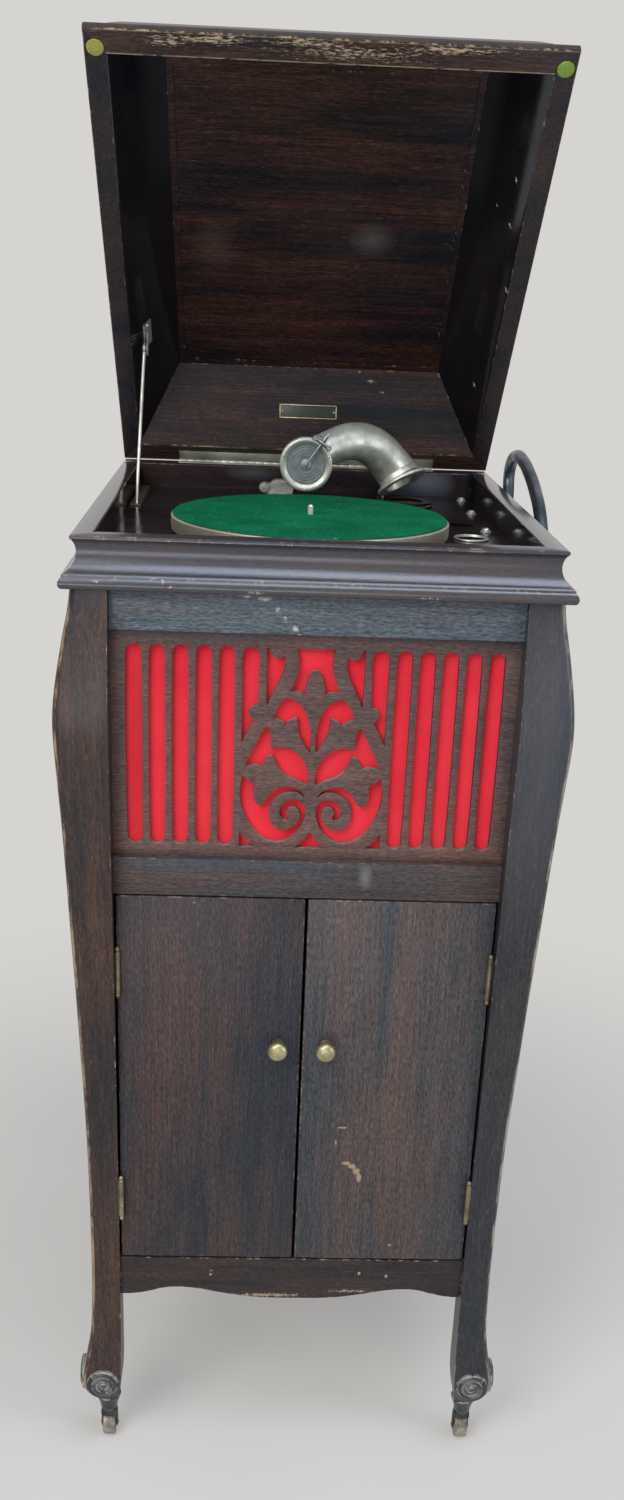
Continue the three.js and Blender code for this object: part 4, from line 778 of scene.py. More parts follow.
# %% Mitred moulding
HALF_W, HALF_D = 239.0, 293.0
WELL_HALF_W, WELL_FRONT, WELL_BACK = 218.5, -268.5, 266.5
COVE = [(-1.6, 0), (-0.5, -0.4), (0, -1.5), (0, -3.2), (-2, -5), (-3.6, -7.6), (-4.9, -11), (-5.5, -15),
    (-5.3, -19), (-4.3, -23), (-2.6, -26.4), (-0.3, -29.6), (2.4, -32.4), (5, -34.4), (7.4, -35.6),
    (8, -36.5), (8, -38.4), (9.2, -39.4), (10.4, -41), (11.1, -43), (11.3, -44.8), (10.9, -46.6),
    (9.9, -48.3), (8.5, -49.4)]


def batten(name, wall, length, reach, turn):
    """A mitred length of moulding: drawn along x and facing -y, then turned about z."""
    inside = [(-wall, -49.4), (-wall, -1.2), (-wall + 0.5, -0.4), (-wall + 1.4, 0)]
    over = length + 30
    obj = drawn(name, [(-over, -(reach + out), z) for out, z in COVE + inside])
    bpy.ops.mesh.edge_face_add()
    pull(2 * over, 0, 0)
    for side in (-1, 1):
        bpy.ops.mesh.select_all(action="SELECT")
        bpy.ops.mesh.bisect(plane_co=(side * length * MM, -reach * MM, 0), plane_no=(side, 1, 0),
                            use_fill=True, clear_outer=True)
    edited()
    obj.data.transform(Matrix.Translation(place(0, 0, RIM_TOP)) @ spin(turn, "Z"))
    return obj


rim_parts = []
for part_name, wall, length, reach, turn, finish in (("rim_front", 25, HALF_W, HALF_D, 0, rim_along_x),
        ("rim_right", 21, HALF_D, HALF_W, 90, rim_along_y), ("rim_back", 27, HALF_W, HALF_D, 180,
        rim_along_x), ("rim_left", 21, HALF_D, HALF_W, -90, rim_along_y)):
    rim_parts.append(painted(batten(part_name, wall, length, reach, turn), finish))
combine(rim_parts[2], "DIFFERENCE", board("hinge_rebate", (-168, 289.7, 1116.7), (168, 300, 1125), edge=0))
for x0, x1 in ((-237, -168.3), (168.3, 237)):
    rib = board("rim_back_rib", (x0, 290, 1119.4), (x1, 292.6, 1120.68), edge=0)
    rim_parts.append(painted(rib, rim_rear))
rim = glue("rim", *rim_parts)
for finish in (well_stain_and_reflections_x, well_along_y):
    rim.data.materials.append(finish)
# the inner faces get the well's finishes, and the top at the back gets a duller one
for polygon in rim.data.polygons:
    x, y, z = (polygon.center - CENTRE) / MM
    if abs(polygon.normal.z) < 0.3 and abs(x) < WELL_HALF_W and WELL_FRONT < y < WELL_BACK:
        polygon.material_index = len(rim.data.materials) - (2 if abs(polygon.normal.y) > 0.7 else 1)
    elif polygon.normal.z > 0.9 and y > 262 and z > RIM_TOP - 2:
        polygon.material_index = rim.data.materials.find(rim_rear.name)
done(rim, "cabinet", "stained_wood", angle=30, stands_for="rim_moulding")
print("rim faces:", len(rim.data.polygons))

# %% [markdown]
# ## The four posts
# Each post is one long double curve: it swells outwards under the rim, runs in to the
# doors' foot, and turns out again into a scroll. Only its two outer faces curve, by the
# same amount, so a cross-section is always a square that grows from its inner corner.
# So the post is a square that is extruded level by level and resized about that corner.
# A smooth curve through a few measured offsets gives the levels between.

# %% Post profile
POST_CORNER = (204.0, 258.0)
OFFSETS = [(49.6, 1.5), (70, 4), (95, 9), (116, 12.7), (145, 17.3), (170, 19.8), (190, 20.2), (212, 19.3),
    (250, 17.2), (285, 15.2), (350, 12.4), (418, 9.8), (480, 7.1), (550, 4.6), (620, 2), (684, 0.2),
    (760, -0.8), (841, -1.2), (900, -0.6), (937, 0.8), (962, 3.5), (989, 8), (1004, 10.8), (1016, 11.6),
    (1028, 10), (1040, 5), (1050, -1), (1056, -6)]
DRAW_IN = [(49.6, 0), (1000, 0), (1016, 0.5), (1028, 1.5), (1040, 3), (1050, 5), (1056, 7)]
TOP_DEPTH, FOOT_DEPTH, CORE = 49.6, 1056, 35


def between(table, at):
    """A smooth reading between a table's points (Catmull-Rom on uneven steps)."""
    for i in range(len(table) - 1):
        (x0, y0), (x1, y1) = table[i], table[i + 1]
        if at <= x1:
            before, after = table[max(0, i - 1)], table[min(len(table) - 1, i + 2)]
            slope0 = (y1 - before[1]) / (x1 - before[0])
            slope1 = (after[1] - y0) / (after[0] - x0)
            span = x1 - x0
            t = (at - x0) / span
            return ((2 * t ** 3 - 3 * t ** 2 + 1) * y0 + (t ** 3 - 2 * t ** 2 + t) * span * slope0
                    + (-2 * t ** 3 + 3 * t ** 2) * y1 + (t ** 3 - t ** 2) * span * slope1)
    return table[-1][1]


def straight(table, at):
    """A straight reading between a table's points."""
    for (x0, y0), (x1, y1) in zip(table, table[1:]):
        if at <= x1:
            return y0 + (y1 - y0) * (at - x0) / (x1 - x0)
    return table[-1][1]


def section(depth):
    """How far the post's inner corner draws in at a depth, and the square's side there."""
    inner = straight(DRAW_IN, depth)
    return inner, CORE + between(OFFSETS, depth) - inner


def bombe_post(name):
    """The rear right post, before it is mirrored to its corner."""
    levels = [TOP_DEPTH] + [50 + 12 * i for i in range(1, 79)]
    levels += [1000 + 5 * i for i in range(12)] + [FOOT_DEPTH]
    alone()
    inner, size = section(levels[0])
    low = place(POST_CORNER[0] + inner, POST_CORNER[1] + inner, RIM_TOP - levels[0])
    bpy.ops.mesh.primitive_plane_add(size=1, location=low + Vector((size, size, 0)) * MM / 2)
    bpy.context.object.scale = (size * MM, size * MM, 1)
    obj = named(name)
    editing("FACE")
    for depth0, depth1 in zip(levels, levels[1:]):
        (in0, size0), (in1, size1) = section(depth0), section(depth1)
        pull(in1 - in0, in1 - in0, depth0 - depth1)
        corner = place(POST_CORNER[0] + in1, POST_CORNER[1] + in1, RIM_TOP - depth1)
        bpy.ops.transform.resize(value=(size1 / size0, size1 / size0, 1), center_override=corner)

    def outer_arris(edge):
        a, b = (obj.data.vertices[i].co for i in edge.vertices)
        x, y, z = ((a + b) / 2 - CENTRE) / MM
        reach = HALF_W + between(OFFSETS, RIM_TOP - z)
        return abs(a.z - b.z) >= 0.002 and abs(x - reach) < 3 and abs(y - reach - (HALF_D - HALF_W)) < 3

    pick(obj, "edges", outer_arris)
    bpy.ops.mesh.bevel(offset=0.0075, segments=5, affect="EDGES")
    edited()
    return obj


master = bombe_post("post_master")
print("levels make", len(master.data.polygons), "faces")

# %% [markdown]
# Each foot ends in a carved volute on both outer faces: a disc with a bold round ridge
# that winds in to a button, like a snail's shell. The disc is turned, and the ridge is a
# rod bent along a spiral and half sunk in its face. Below it the foot runs down in a
# short toe, a turned sleeve round the caster's stem.

# %% Feet with volutes
FOOT_Z, FACE_OUT = 103.0, 11.6
SWIVEL_X, SWIVEL_Y = 222.0, 276.0
CORNERS = (("front_left", -1, -1), ("front_right", 1, -1), ("rear_left", -1, 1), ("rear_right", 1, 1))
TURNS = 41  # the spiral's points run from 0 to this number


def volute(name, at, axis, hand):
    """A carved spiral disc that faces along the axis; hand is the way its spiral winds."""
    disc = turned(name, [(0, -9), (19.8, -9), (20.4, -1), (20.3, 0.6), (19.6, 1.1), (0, 1.1)], at, axis,
        steps=40)
    out = -0.9 if axis[0] == "-" else 0.9
    line = []
    for i in range(TURNS + 1):
        angle = hand * (i * math.pi / 9.5 - math.pi / 4) + math.pi / 2
        radius = 17.8 - 13.9 * (i / TURNS) ** 0.84
        u, v = radius * math.cos(angle), radius * math.sin(angle)
        across, towards = (u, out) if axis[-1] == "y" else (out, u)
        line.append((at[0] + across, at[1] + towards, at[2] + v))
    spiral = rod(name + "_spiral", line, 2.6, radii=[2.9 - 1.4 * i / TURNS for i in range(TURNS + 1)])
    button = turned(name + "_button", [(0, -1), (3.3, -1), (3.2, 2.2), (2.1, 3.5), (0, 4.0)], at, axis,
        steps=16)
    return [disc, spiral, button]


TOE = [(11.6, 66), (11.6, 60.3), (9, 57.4), (8.1, 53), (7.9, 44.6), (9.3, 44.2), (9.9, 45.4), (10.6, 50),
    (12.2, 57), (15.2, 66), (14, 68), (11.6, 66)]
for corner_name, sx, sy in CORNERS:
    post = master.copy()
    post.data = master.data.copy()
    bpy.context.collection.objects.link(post)
    post.data.transform(put((0, 0, 0), Matrix.Diagonal((sx, sy, 1, 1))))
    upright(post)
    carved = volute(corner_name + "_volute_y", (sx * 225.5, sy * (HALF_D + FACE_OUT), FOOT_Z),
        "y" if sy > 0 else "-y", sx)
    carved += volute(corner_name + "_volute_x", (sx * (HALF_W + FACE_OUT), sy * 279.5, FOOT_Z),
        "x" if sx > 0 else "-x", -sy)
    carved.append(turned(corner_name + "_toe", TOE, (sx * SWIVEL_X, sy * SWIVEL_Y, 0), steps=32))
    painted(post, left_post_stain if sx < 0 else right_post_stain_and_highlight)
    whole = glue(corner_name + "_post_dressed", post, *(painted(part, scroll_stain) for part in carved))
    done(whole, "cabinet", "stained_wood", angle=40, stands_for=corner_name + "_post")
bpy.data.objects.remove(master)
print("post faces:", len(whole.data.polygons))

# %% [markdown]
# ## Rails, doors and apron
# These are plain boards. What makes them read as joinery is the eased edge that catches
# a thin line of light, and the dark gaps between them. The apron's lower edge is sawn to
# a shallow double wave.

# %% Boards of the front
OPENING = 204.0
for name, low, high, edge, finish, node_name in (
        ("upper_rail_board", 1030, 1070.4, 0.7, rail_blue, "upper_rail"),
        ("middle_rail_board", 749.5, 791, 1.0, case_along_x, "middle_rail")):
    rail = board(name, (-OPENING, FACE, low), (OPENING, FACE + 20, high), edge)
    done(rail, "cabinet", "stained_wood", finish, stands_for=node_name)
SIDES = (("left", -1), ("right", 1))
for side, sign in SIDES:
    x0, x1 = sorted((sign * 1.5, sign * 202))
    door = board(side + "_door_board", (x0, FACE, 283.5), (x1, FACE + 20, 748), edge=2.3)
    finish = left_door_stain if sign < 0 else right_door_stain
    done(door, side + "_door_body", "stained_wood", finish, stands_for=side + "_door")
WAVE = [(-OPENING, 282), (-OPENING, 229), (-190, 229.2), (-170, 233), (-150, 238.5), (-135, 239.5),
    (-115, 238), (-85, 232), (-50, 226.5)]
apron = sawn("apron_board", [WAVE + [(0, 225)] + mirrored(WAVE)[len(WAVE):]], FACE, 20, edge=0.9)
done(apron, "cabinet", "stained_wood", apron_stain, stands_for="front_apron")
print("front boards made")

# %% [markdown]
# ## The fretwork
# The grille is a thin board that was sawn through by hand: eight long slots with round
# ends on a side, and between them a lily on a stem in a pair of scrolls. The outline is
# a flat curve with holes in it. Points that turn sharply stay corners, and the rest are
# smoothed, as the saw would. The right half is drawn and the left half mirrors it.
# Inside the holes the saw left bare wood. Where it faces up it is painted pale, partly for
# dust and wear and partly as painted light from above; the other cut faces get painted shade.

# %% Fret outline
LEAF_SIDE = [(31, 113), (37, 115.5), (42, 114), (45, 110), (46.5, 105.5), (49, 105.5), (49, 130), (48.6, 150),
    (48, 165), (44, 155), (38, 143), (33, 131), (30.5, 122)]
LILY = [(3, 213), (2.3, 205), (2.6, 193), (5, 180), (9, 170), (15, 162), (22, 157.5), (28, 156), (33, 160),
    (38, 169), (42, 177), (37, 178.5), (31, 181.5), (28, 184.5), (26, 181), (22, 178.5), (17, 176.5),
    (16.5, 183), (15.5, 190), (12, 199), (7, 208)]
WING = [(3.5, 248), (3, 240), (5, 230), (9, 221), (15, 214), (23, 209), (31, 207), (38, 207.5), (42.5, 209.5),
    (43, 204), (43, 199), (44, 192), (47, 185), (52, 192), (58, 205), (64, 217), (69, 229), (63, 228),
    (57, 227.5), (52, 229.5), (48.5, 224), (45, 218), (41, 216), (38.5, 221), (35, 229), (30, 235), (22, 240),
    (13, 243.5), (7, 247)]
SCROLL = [(71, 238), (73.3, 252), (73, 264), (70, 277), (64, 290), (56, 301), (46, 308.5), (36, 311),
    (26, 309.5), (17, 303.5), (10.5, 295), (7, 286), (5.5, 277), (6.5, 270), (10, 265.5), (16, 263.5),
    (23, 264.5), (29, 268.5), (32, 275), (31.5, 281.5), (28.5, 286), (24, 286.5), (22.5, 282), (25, 277.5),
    (23.5, 273.5), (19.5, 271.5), (15, 272), (12, 275.5), (11, 280), (12.5, 286), (16, 291.5), (22, 295.5),
    (29, 296.5), (36, 294), (41, 287), (42.5, 278), (40.5, 269), (35, 262), (28, 257.5), (20, 256), (12, 257),
    (6, 262.5), (10, 255), (16, 251.5), (24, 249.5), (32, 250.5), (39, 254.5), (44.5, 260.5), (48, 267),
    (52, 270.5), (56, 269), (59, 263), (60, 256), (58.5, 250), (60, 247.5), (66, 243)]
SHORT_SLOT = [(57, 110), (59.5, 106.7), (64.5, 105), (69.5, 106.7), (72, 110), (72.8, 150), (72.8, 204),
    (69, 196), (64, 187), (60.5, 180), (63, 177), (66, 173), (65, 168.5), (61, 165.5), (57, 164.5),
    (56.5, 140)]
CORNER_BIT = [(73.5, 299), (73.6, 317.6), (57, 316.4), (66, 309)]
CROWN_HALF = [(20, 105.5), (18, 110.5), (17, 118), (16.8, 126), (18.5, 133), (21, 140), (24.8, 149.5),
    (19, 149.3), (14, 150), (10.5, 152.5), (9.5, 145), (8, 138), (5, 131), (2.5, 128)]
CROWN = [(-20, 105.5)] + CROWN_HALF + [(0, 127)] + mirrored(CROWN_HALF)[len(CROWN_HALF):-1]
FOOT_BIT = [(0, 298.5), (7, 308), (16, 317), (-16, 317), (-7, 308)]


def long_slot(centre, half=7.7, top=104.5, foot=316.0):
    """A slot with round ends, drawn downwards from the rim's top."""
    arc = [k * math.pi / 6 for k in range(7)]
    ends = [(centre - half * math.cos(a), top + half - half * math.sin(a)) for a in arc]
    return ends + [(centre + half * math.cos(a), foot - half + half * math.sin(a)) for a in arc]


half_holes = [LEAF_SIDE, LILY, WING, SCROLL, SHORT_SLOT, CORNER_BIT]
half_holes += [long_slot(x) for x in (88.3, 111.2, 134.6, 157.8, 181)]
holes = half_holes + [[(-x, d) for x, d in hole] for hole in half_holes] + [CROWN, FOOT_BIT]
border = [(-OPENING, 329), (OPENING, 329), (OPENING, 90), (-OPENING, 90)]
outlines = [[(x, RIM_TOP - d) for x, d in line] for line in [border] + holes]
fret = sawn("fretwork", outlines, -280, 7, edge=0.5, corner=42, resolution=4)

sawn_edge_dust_and_light, tree, shader, where = blank("sawn_edge_dust_and_painted_light")
# cut faces turned up are painted pale, partly dust and wear and partly painted light from above; the others
# are painted dark as shade
facing = add(tree, "SeparateXYZ", {"Vector": add(tree, "NewGeometry").outputs["Normal"]}).outputs["Z"]
uneven = maths(tree, "MULTIPLY", noise(tree, where, 180.0, 4.0), 1.5)
amount = maths(tree, "MULTIPLY", remap(tree, facing, 0.05, 0.75), uneven, use_clamp=True)
feed(tree, shader, {"Base Color": mixed(tree, amount, tint("#33201f"), tint("#8f7c6e")), "Roughness": 0.8})
done(fret, "cabinet", "stained_wood", fret_stain, sawn_edge_dust_and_light, angle=30, stands_for="fret_grille")
for polygon in fret.data.polygons:
    polygon.material_index = 1 if abs(polygon.normal.y) < 0.5 else 0
print("fret faces:", len(fret.data.polygons))

# %% [markdown]
# The red cloth is stretched on the back of the fretwork and tacked at its border. Behind
# the slots it gives a little. It is a grid whose open parts are pushed forward by a
# soft wave, and a Solidify modifier gives it its thickness.

# %% Grille cloth
CLOTH_W, CLOTH_H, CLOTH_MIDDLE = 406, 237, 910.5
alone()
bpy.ops.mesh.primitive_grid_add(x_subdivisions=136, y_subdivisions=80, size=1, location=place(0, 0, 0))
cloth = bpy.context.object
cloth.scale = (CLOTH_W * MM, CLOTH_H * MM, 1)
cloth.rotation_euler = (math.pi / 2, 0, 0)
cloth.location = place(0, -272.2, CLOTH_MIDDLE)
cloth = named("grille_cloth_sheet")
for vertex in cloth.data.vertices:
    u, _, v = (vertex.co - CENTRE) / MM
    tacked = min(1.0, (CLOTH_W / 2 - abs(u)) / 18, (CLOTH_H / 2 - abs(v - CLOTH_MIDDLE)) / 18)
    vertex.co.y -= max(0.0, tacked) * (0.22 + 0.2 * math.sin(u * 0.11 + 1.3) * math.cos(v * 0.052)) * MM
modified(cloth, "thickness", "SOLIDIFY", thickness=0.0006, offset=1)
done(cloth, "cabinet", "grille_cloth", red_cloth, angle=80, stands_for="grille_cloth")
print("cloth made")

# %% [markdown]
# ## The lid
# The lid is a deep tray upside down: a lip, a bead, and a long ogee slope up to a nearly
# flat top. It is one chain of rectangles. The chain starts at the ceiling panel inside,
# comes down the inner slopes to the mouth, crosses the lip, and climbs the outside to
# the top. Each step is an extrude, and a resize and a move set the new rectangle.
# The lid is drawn shut and then tipped open about its hinge line.

# %% Lid shell
LID_SEAT = 1120.75
OPENED = put((0, HALF_D, LID_SEAT), spin(-48.5, "X"))


def tipped(obj, first=Matrix.Identity(4)):
    """Moves a piece that was drawn on the shut lid to where the open lid carries it."""
    obj.data.transform(OPENED @ first)
    return obj


def rectangles(name, chain):
    """A closed solid from a chain of rectangles (x half width, y front, y back, z)."""
    half, front, back, z = chain[0]
    alone()
    bpy.ops.mesh.primitive_plane_add(size=1, location=place(0, (front + back) / 2, z))
    bpy.context.object.scale = (2 * half * MM, (back - front) * MM, 1)
    obj = named(name)
    editing("FACE")
    for (w0, f0, b0, z0), (w1, f1, b1, z1) in zip(chain, chain[1:]):
        pull(0, (f1 + b1 - f0 - b0) / 2, z1 - z0)
        bpy.ops.transform.resize(value=(w1 / w0, (b1 - f1) / (b0 - f0), 1),
                                 center_override=place(0, (f1 + b1) / 2, z1))
    edited()
    return obj


# inside, measured back from the hinge line, then insets from the outline of the rim
MOUTH_Z, CEILING_Z = 0.75, 86.5
INNER = [(158, -493, -96, CEILING_Z), (160, -495, -94, CEILING_Z), (160, -495, -94, 84), (167, -502, -87, 84),
         (168, -503, -86, 83), (216.6, -559.6, -28.4, 3), (218, -561, -27, 1.6), (218, -561, -27, MOUTH_Z)]
OUTER = [(0.6, MOUTH_Z), (0, 1.4), (0, 8.6), (0.8, 10.2), (2.5, 11.5), (5.2, 12.8), (7, 14), (8.6, 16.2),
    (9.5, 19), (9.5, 22), (11, 23.8), (14, 25), (16, 29.5), (19.5, 38), (24, 46), (31, 58), (40, 70),
    (47.5, 78), (56, 84), (66, 87.6), (78, 90), (98, 92), (120, 93)]
chain = INNER + [(HALF_W - inset, inset - 2 * HALF_D, -inset, z) for inset, z in OUTER]
lid_shell = rectangles("lid_shell", chain)
LID_FINISHES = (lid_inside_stain, lid_slope_stain, lid_side_stain, lid_lip_x, lid_lip_y, lid_outside_stain)
for polygon in lid_shell.data.polygons:
    x, y, z = (polygon.center - CENTRE) / MM
    normal = polygon.normal
    if abs(x) < 217.5 and -560 < y < -28 and z < 87 and normal.z < 0.2:
        polygon.material_index = 0 if normal.z < -0.95 else 1 if abs(normal.y) > abs(normal.x) else 2
    elif normal.z < -0.95 and z < 1.5:
        polygon.material_index = 3 if abs(x) < 200 else 4
    else:
        polygon.material_index = 5
done(tipped(lid_shell), "lid_body", "lid_wood", *LID_FINISHES, angle=28, stands_for="lid")
print("lid faces:", len(lid_shell.data.polygons))

# %% [markdown]
# Two felt dots under the lid's front corners keep it from rattling. The bare plate on
# the lid's back slope has a thin gilt frame and two pins.

# %% Buffers and plate
for (side, sign), felt in zip(SIDES, (left_buffer_felt, right_buffer_felt)):
    dot = turned(side + "_buffer_dot", [(0, -0.55), (7.4, -0.55), (8.3, -0.3), (8.5, 0.1), (8.5, 0.44),
        (0, 0.44)], (sign * 228, -567, 0), steps=28)
    done(tipped(dot), "lid_body", "buffer_felt", felt, stands_for=side + "_lid_buffer")

SLOPE = put((0, -27, MOUTH_Z), Matrix.Rotation(-math.atan2(83.25, 60), 4, "X"))
plate_parts = [painted(board("plate", (-38, -57.5, -1.4), (38, -38.5, -0.3), edge=0.25), plate_lacquer)]
for x0, y0, x1, y1 in ((-36.8, -56.4, 36.8, -55.6), (-36.8, -40.4, 36.8, -39.6), (-36.8, -56.4, -36, -39.6),
                       (36, -56.4, 36.8, -39.6)):
    plate_parts.append(painted(board("gilt_strip", (x0, y0, -1.55), (x1, y1, -1.3), edge=0.1), gilt))
for side, sign in SIDES:
    pin = turned("plate_pin", [(0, -2.3), (0.7, -2.2), (1.3, -1.8), (1.5, -1.35), (0, -1.35)],
        (sign * 33.5, -48, 0), steps=16)
    plate_parts.append(painted(pin, gilt))
plate = glue("bare_lid_plate", *plate_parts)
done(tipped(plate, SLOPE), "lid_body", "bare_plate", stands_for="name_plate")
print("plate materials:", [m.name for m in plate.data.materials])

# %% [markdown]
# ## The turntable
# The felt is a disc with a soft round edge, a hair smaller than the cast platter, whose
# plated rim shows below it. The platter is hollow underneath. It is turned like the
# real one, on a lathe: one closed profile, spun.

# %% Platter and felt
PLATTER_AT = (-4.0, -64.0, 0.0)
platter = turned("turntable_platter", [(0, 1110), (150.2, 1110), (151.6, 1109.6), (152.4, 1108.6),
    (152.5, 1107), (152.5, 1097.4), (152.1, 1095.2), (151.2, 1094), (148.6, 1094), (147.8, 1095),
    (147.5, 1104), (20, 1105), (12, 1100), (12, 1094.4), (0, 1094.4)], PLATTER_AT, steps=144)
done(platter, "turntable_body", "platter_metal", platter_nickel, stands_for="platter")
felt = turned("turntable_felt_disc", [(3.3, 1110.05), (3.3, 1112.1), (60, 1112.0), (147.5, 1112.1),
    (149.4, 1111.8), (150.3, 1111.1), (150.3, 1110.4), (149.9, 1110.05), (3.3, 1110.05)], PLATTER_AT,
    steps=144)
done(felt, "turntable_body", "turntable_felt", green_felt, stands_for="platter_felt")
print("turntable made")

# %% [markdown]
# ## Hinge and stay of the lid
# A piano hinge runs along the back: two leaves and a row of knuckles on one pin. The
# outer thirds of the barrel belong to the lid and the middle third to the case, and
# each is grooved where one knuckle ends and the next begins.

# %% Piano hinge
PIANO_L, KNUCKLE_R, KNUCKLE_PITCH = 334.0, 2.7, 11.1


def knuckles(name, x0, x1):
    """A barrel along x with a groove at every knuckle."""
    count = max(1, round((x1 - x0) / KNUCKLE_PITCH))
    step = (x1 - x0) / count
    profile = [(0, 0)]
    for i in range(count):
        a, b = i * step, (i + 1) * step
        for into, groove in ((0, 0.7), (0.5, 0.1), (0.9, 0)):
            profile.append((KNUCKLE_R - groove, a + into))
        for into, groove in ((0.9, 0), (0.5, 0.1), (0, 0.7)):
            profile.append((KNUCKLE_R - groove, b - into))
    return turned(name, profile + [(0, x1 - x0)], (x0, 0, 0), "x", steps=16)


def hinge_leaf(name, spans, low, high):
    """One leaf with its knuckles and screws; y runs towards the front as a negative number."""
    parts = [board(name, (-PIANO_L / 2, -18, low), (PIANO_L / 2, -4.3, high), edge=0.12)]
    for x0, x1 in spans:
        parts.append(knuckles(name + "_knuckles", x0, x1))
        parts.append(board(name + "_tab", (x0, -5, low), (x1, -1.5, high), edge=0))
    side = 1 if high > 0 else -1
    head = [(radius, side * height) for radius, height in ((0, 0.3), (2.9, 0.3), (2.6, 0.48), (1.9, 0.62),
        (0, 0.7))]
    for i in range(8):
        parts.append(turned(name + "_screw", head, (-PIANO_L / 2 + 20 + i * 42, -11.5, 0), steps=14))
    return glue(name + "_dressed", *parts)


third = PIANO_L / 6
upper = hinge_leaf("lid_leaf", [(-PIANO_L / 2, -third - 0.3), (third + 0.3, PIANO_L / 2)], 0.1, 0.5)
done(tipped(upper), "lid_body", "nickel", bright_nickel, stands_for="lid_hinge_leaf")
lower = hinge_leaf("case_leaf", [(-third, third)], -0.5, -0.1)
lower.data.transform(Matrix.Translation(Vector((0, HALF_D, LID_SEAT)) * MM))
done(lower, "cabinet", "nickel", bright_nickel, stands_for="case_hinge_leaf")
print("hinge faces:", len(upper.data.polygons) + len(lower.data.polygons))

# %% [markdown]
# The stay is a plain steel rod with a flattened eye. Its eye turns on a lug inside the
# lid, and its foot drops through a slot in a long plate on the board. A row of screws
# holds the plate.

# %% Stay
BOARD_TOP = 1090
STAY_FOOT, STAY_EYE = Vector((-209, 112, BOARD_TOP)), Vector((-203, 178, 1264))
along_stay = (STAY_EYE - STAY_FOOT).normalized()
bar_low, bar_high = STAY_FOOT - along_stay * 14, STAY_EYE - along_stay * 3
bar = rod("stay_bar", [bar_low.lerp(bar_high, t) for t in (0, 0.33, 0.66, 1)], 2.0, sides=16)
eye = turned("stay_eye", mirrored([(0, -1.5), (5.3, -1.5), (6, -0.8)], 1, -1), STAY_EYE, "x", steps=28)
rivet = turned("stay_rivet", mirrored([(0, -2.4), (1.6, -2.3), (2.4, -1.5)], 1, -1), STAY_EYE, "x", steps=18)
done(glue("stay", bar, eye, rivet), "stay_body", "nickel", bright_nickel, stands_for="stay_rod")

foot_plate = board("foot_plate", (-216, 98, BOARD_TOP), (-203, 262, BOARD_TOP + 2), edge=0.4)
combine(foot_plate, "DIFFERENCE", board("slot_cut", (-214, 104, 1085), (-204, 118, 1096), edge=0))
fittings = [foot_plate]
for y in (128, 160, 192, 224, 252):
    head = [(0, 1), (3.3, 1), (3.3, 2.1), (2.4, 2.9), (0, 3.3)]
    fittings.append(turned("plate_screw", head, (-209.5, y, BOARD_TOP), steps=18))
done(glue("stay_foot_plate", *fittings), "cabinet", "nickel", hinge_brass, stands_for="stay_plate")

LEAN = 51 / 83.25
LEAN_ANGLE = math.atan(LEAN)


def on_side(z, off):
    """A point on the lid's left inner slope, off it by a distance into the lid."""
    return -218 + LEAN * (z - MOUTH_Z) + off * math.cos(LEAN_ANGLE), z - off * math.sin(LEAN_ANGLE)


LEAF_LOW, LEAF_HIGH = 22.0, 35.0
LEAF_BACK, LEAF_FACE = 0.3, 1.9
leaf_ends = [on_side(LEAF_HIGH, LEAF_BACK), on_side(LEAF_LOW, LEAF_BACK), on_side(LEAF_LOW, LEAF_FACE),
             on_side(LEAF_HIGH, LEAF_FACE)]
leaf = sawn("bracket_leaf", [leaf_ends], -204.5, 34, edge=0.3, corner=10)
parts = [leaf, board("bracket_lug", (-200.3, -190, 3), (-198.3, -177, 28.4), edge=0.6)]
x, z = on_side((LEAF_LOW + LEAF_HIGH) / 2, LEAF_FACE)
for y in (-199.5, -175.5):
    screw = turned("bracket_screw", [(0, -1), (3, -1), (3, 0.1), (2.1, 0.9), (0, 1.1)], (0, 0, 0), steps=16)
    screw.data.transform(put((x, y, z), Matrix.Rotation(math.pi / 2 + LEAN_ANGLE, 4, "Y")))
    parts.append(screw)
done(tipped(glue("lid_stay_bracket", *parts)), "lid_body", "nickel", bright_nickel, stands_for="stay_bracket")
print("stay made")

# %% [markdown]
# ## Tonearm and soundbox
# The arm is a cast tube that swells towards its foot like a goose's neck and ends in a
# rolled flange. The photograph shows it lifted off its seat, so the flange's dark mouth
# looks at us. A curve with a radius at each point gives the tube, and a turned ring with
# its axis along the lift's direction gives the rolled flange.

# %% Tonearm
NECK = [((-6, 105.8, 1145), 10.5), ((-5.6, 112, 1145.3), 13), ((-1, 126, 1148.5), 17.5),
    ((11, 138, 1154.5), 19.5), ((28, 147, 1161.5), 20.5), ((50, 157, 1167), 22), ((71, 168, 1163.5), 23.2),
    ((88, 178.5, 1152.5), 24.2), ((101, 185.5, 1139), 25), ((110.5, 187.5, 1128), 25.8)]
SEAT = Vector((123.4, 178.4, 1096))
LIFT_PIN = Vector((94.368, 199.688, 1096))
LIFT_AXIS = Vector((-0.5914, -0.8064, 0)).normalized()
LIFTED = Matrix.Rotation(math.radians(33.9), 3, LIFT_AXIS)
flange_at = LIFTED @ (SEAT - LIFT_PIN) + LIFT_PIN
flange_out = LIFTED @ Vector((0, 0, -1))
NECK.append((flange_at - flange_out * 4.5, 27.0))
arm = rod("arm_tube", [p for p, r in NECK], 20, sides=40, radii=[r for p, r in NECK])
to_flange = Vector((0, 0, 1)).rotation_difference(flange_out).to_matrix().to_4x4()


def on_flange(name, profile, steps):
    """A lathe form on the flange's axis, which looks out of its mouth."""
    obj = turned(name, profile, (0, 0, 0), steps=steps)
    obj.data.transform(put(flange_at, to_flange))
    return obj


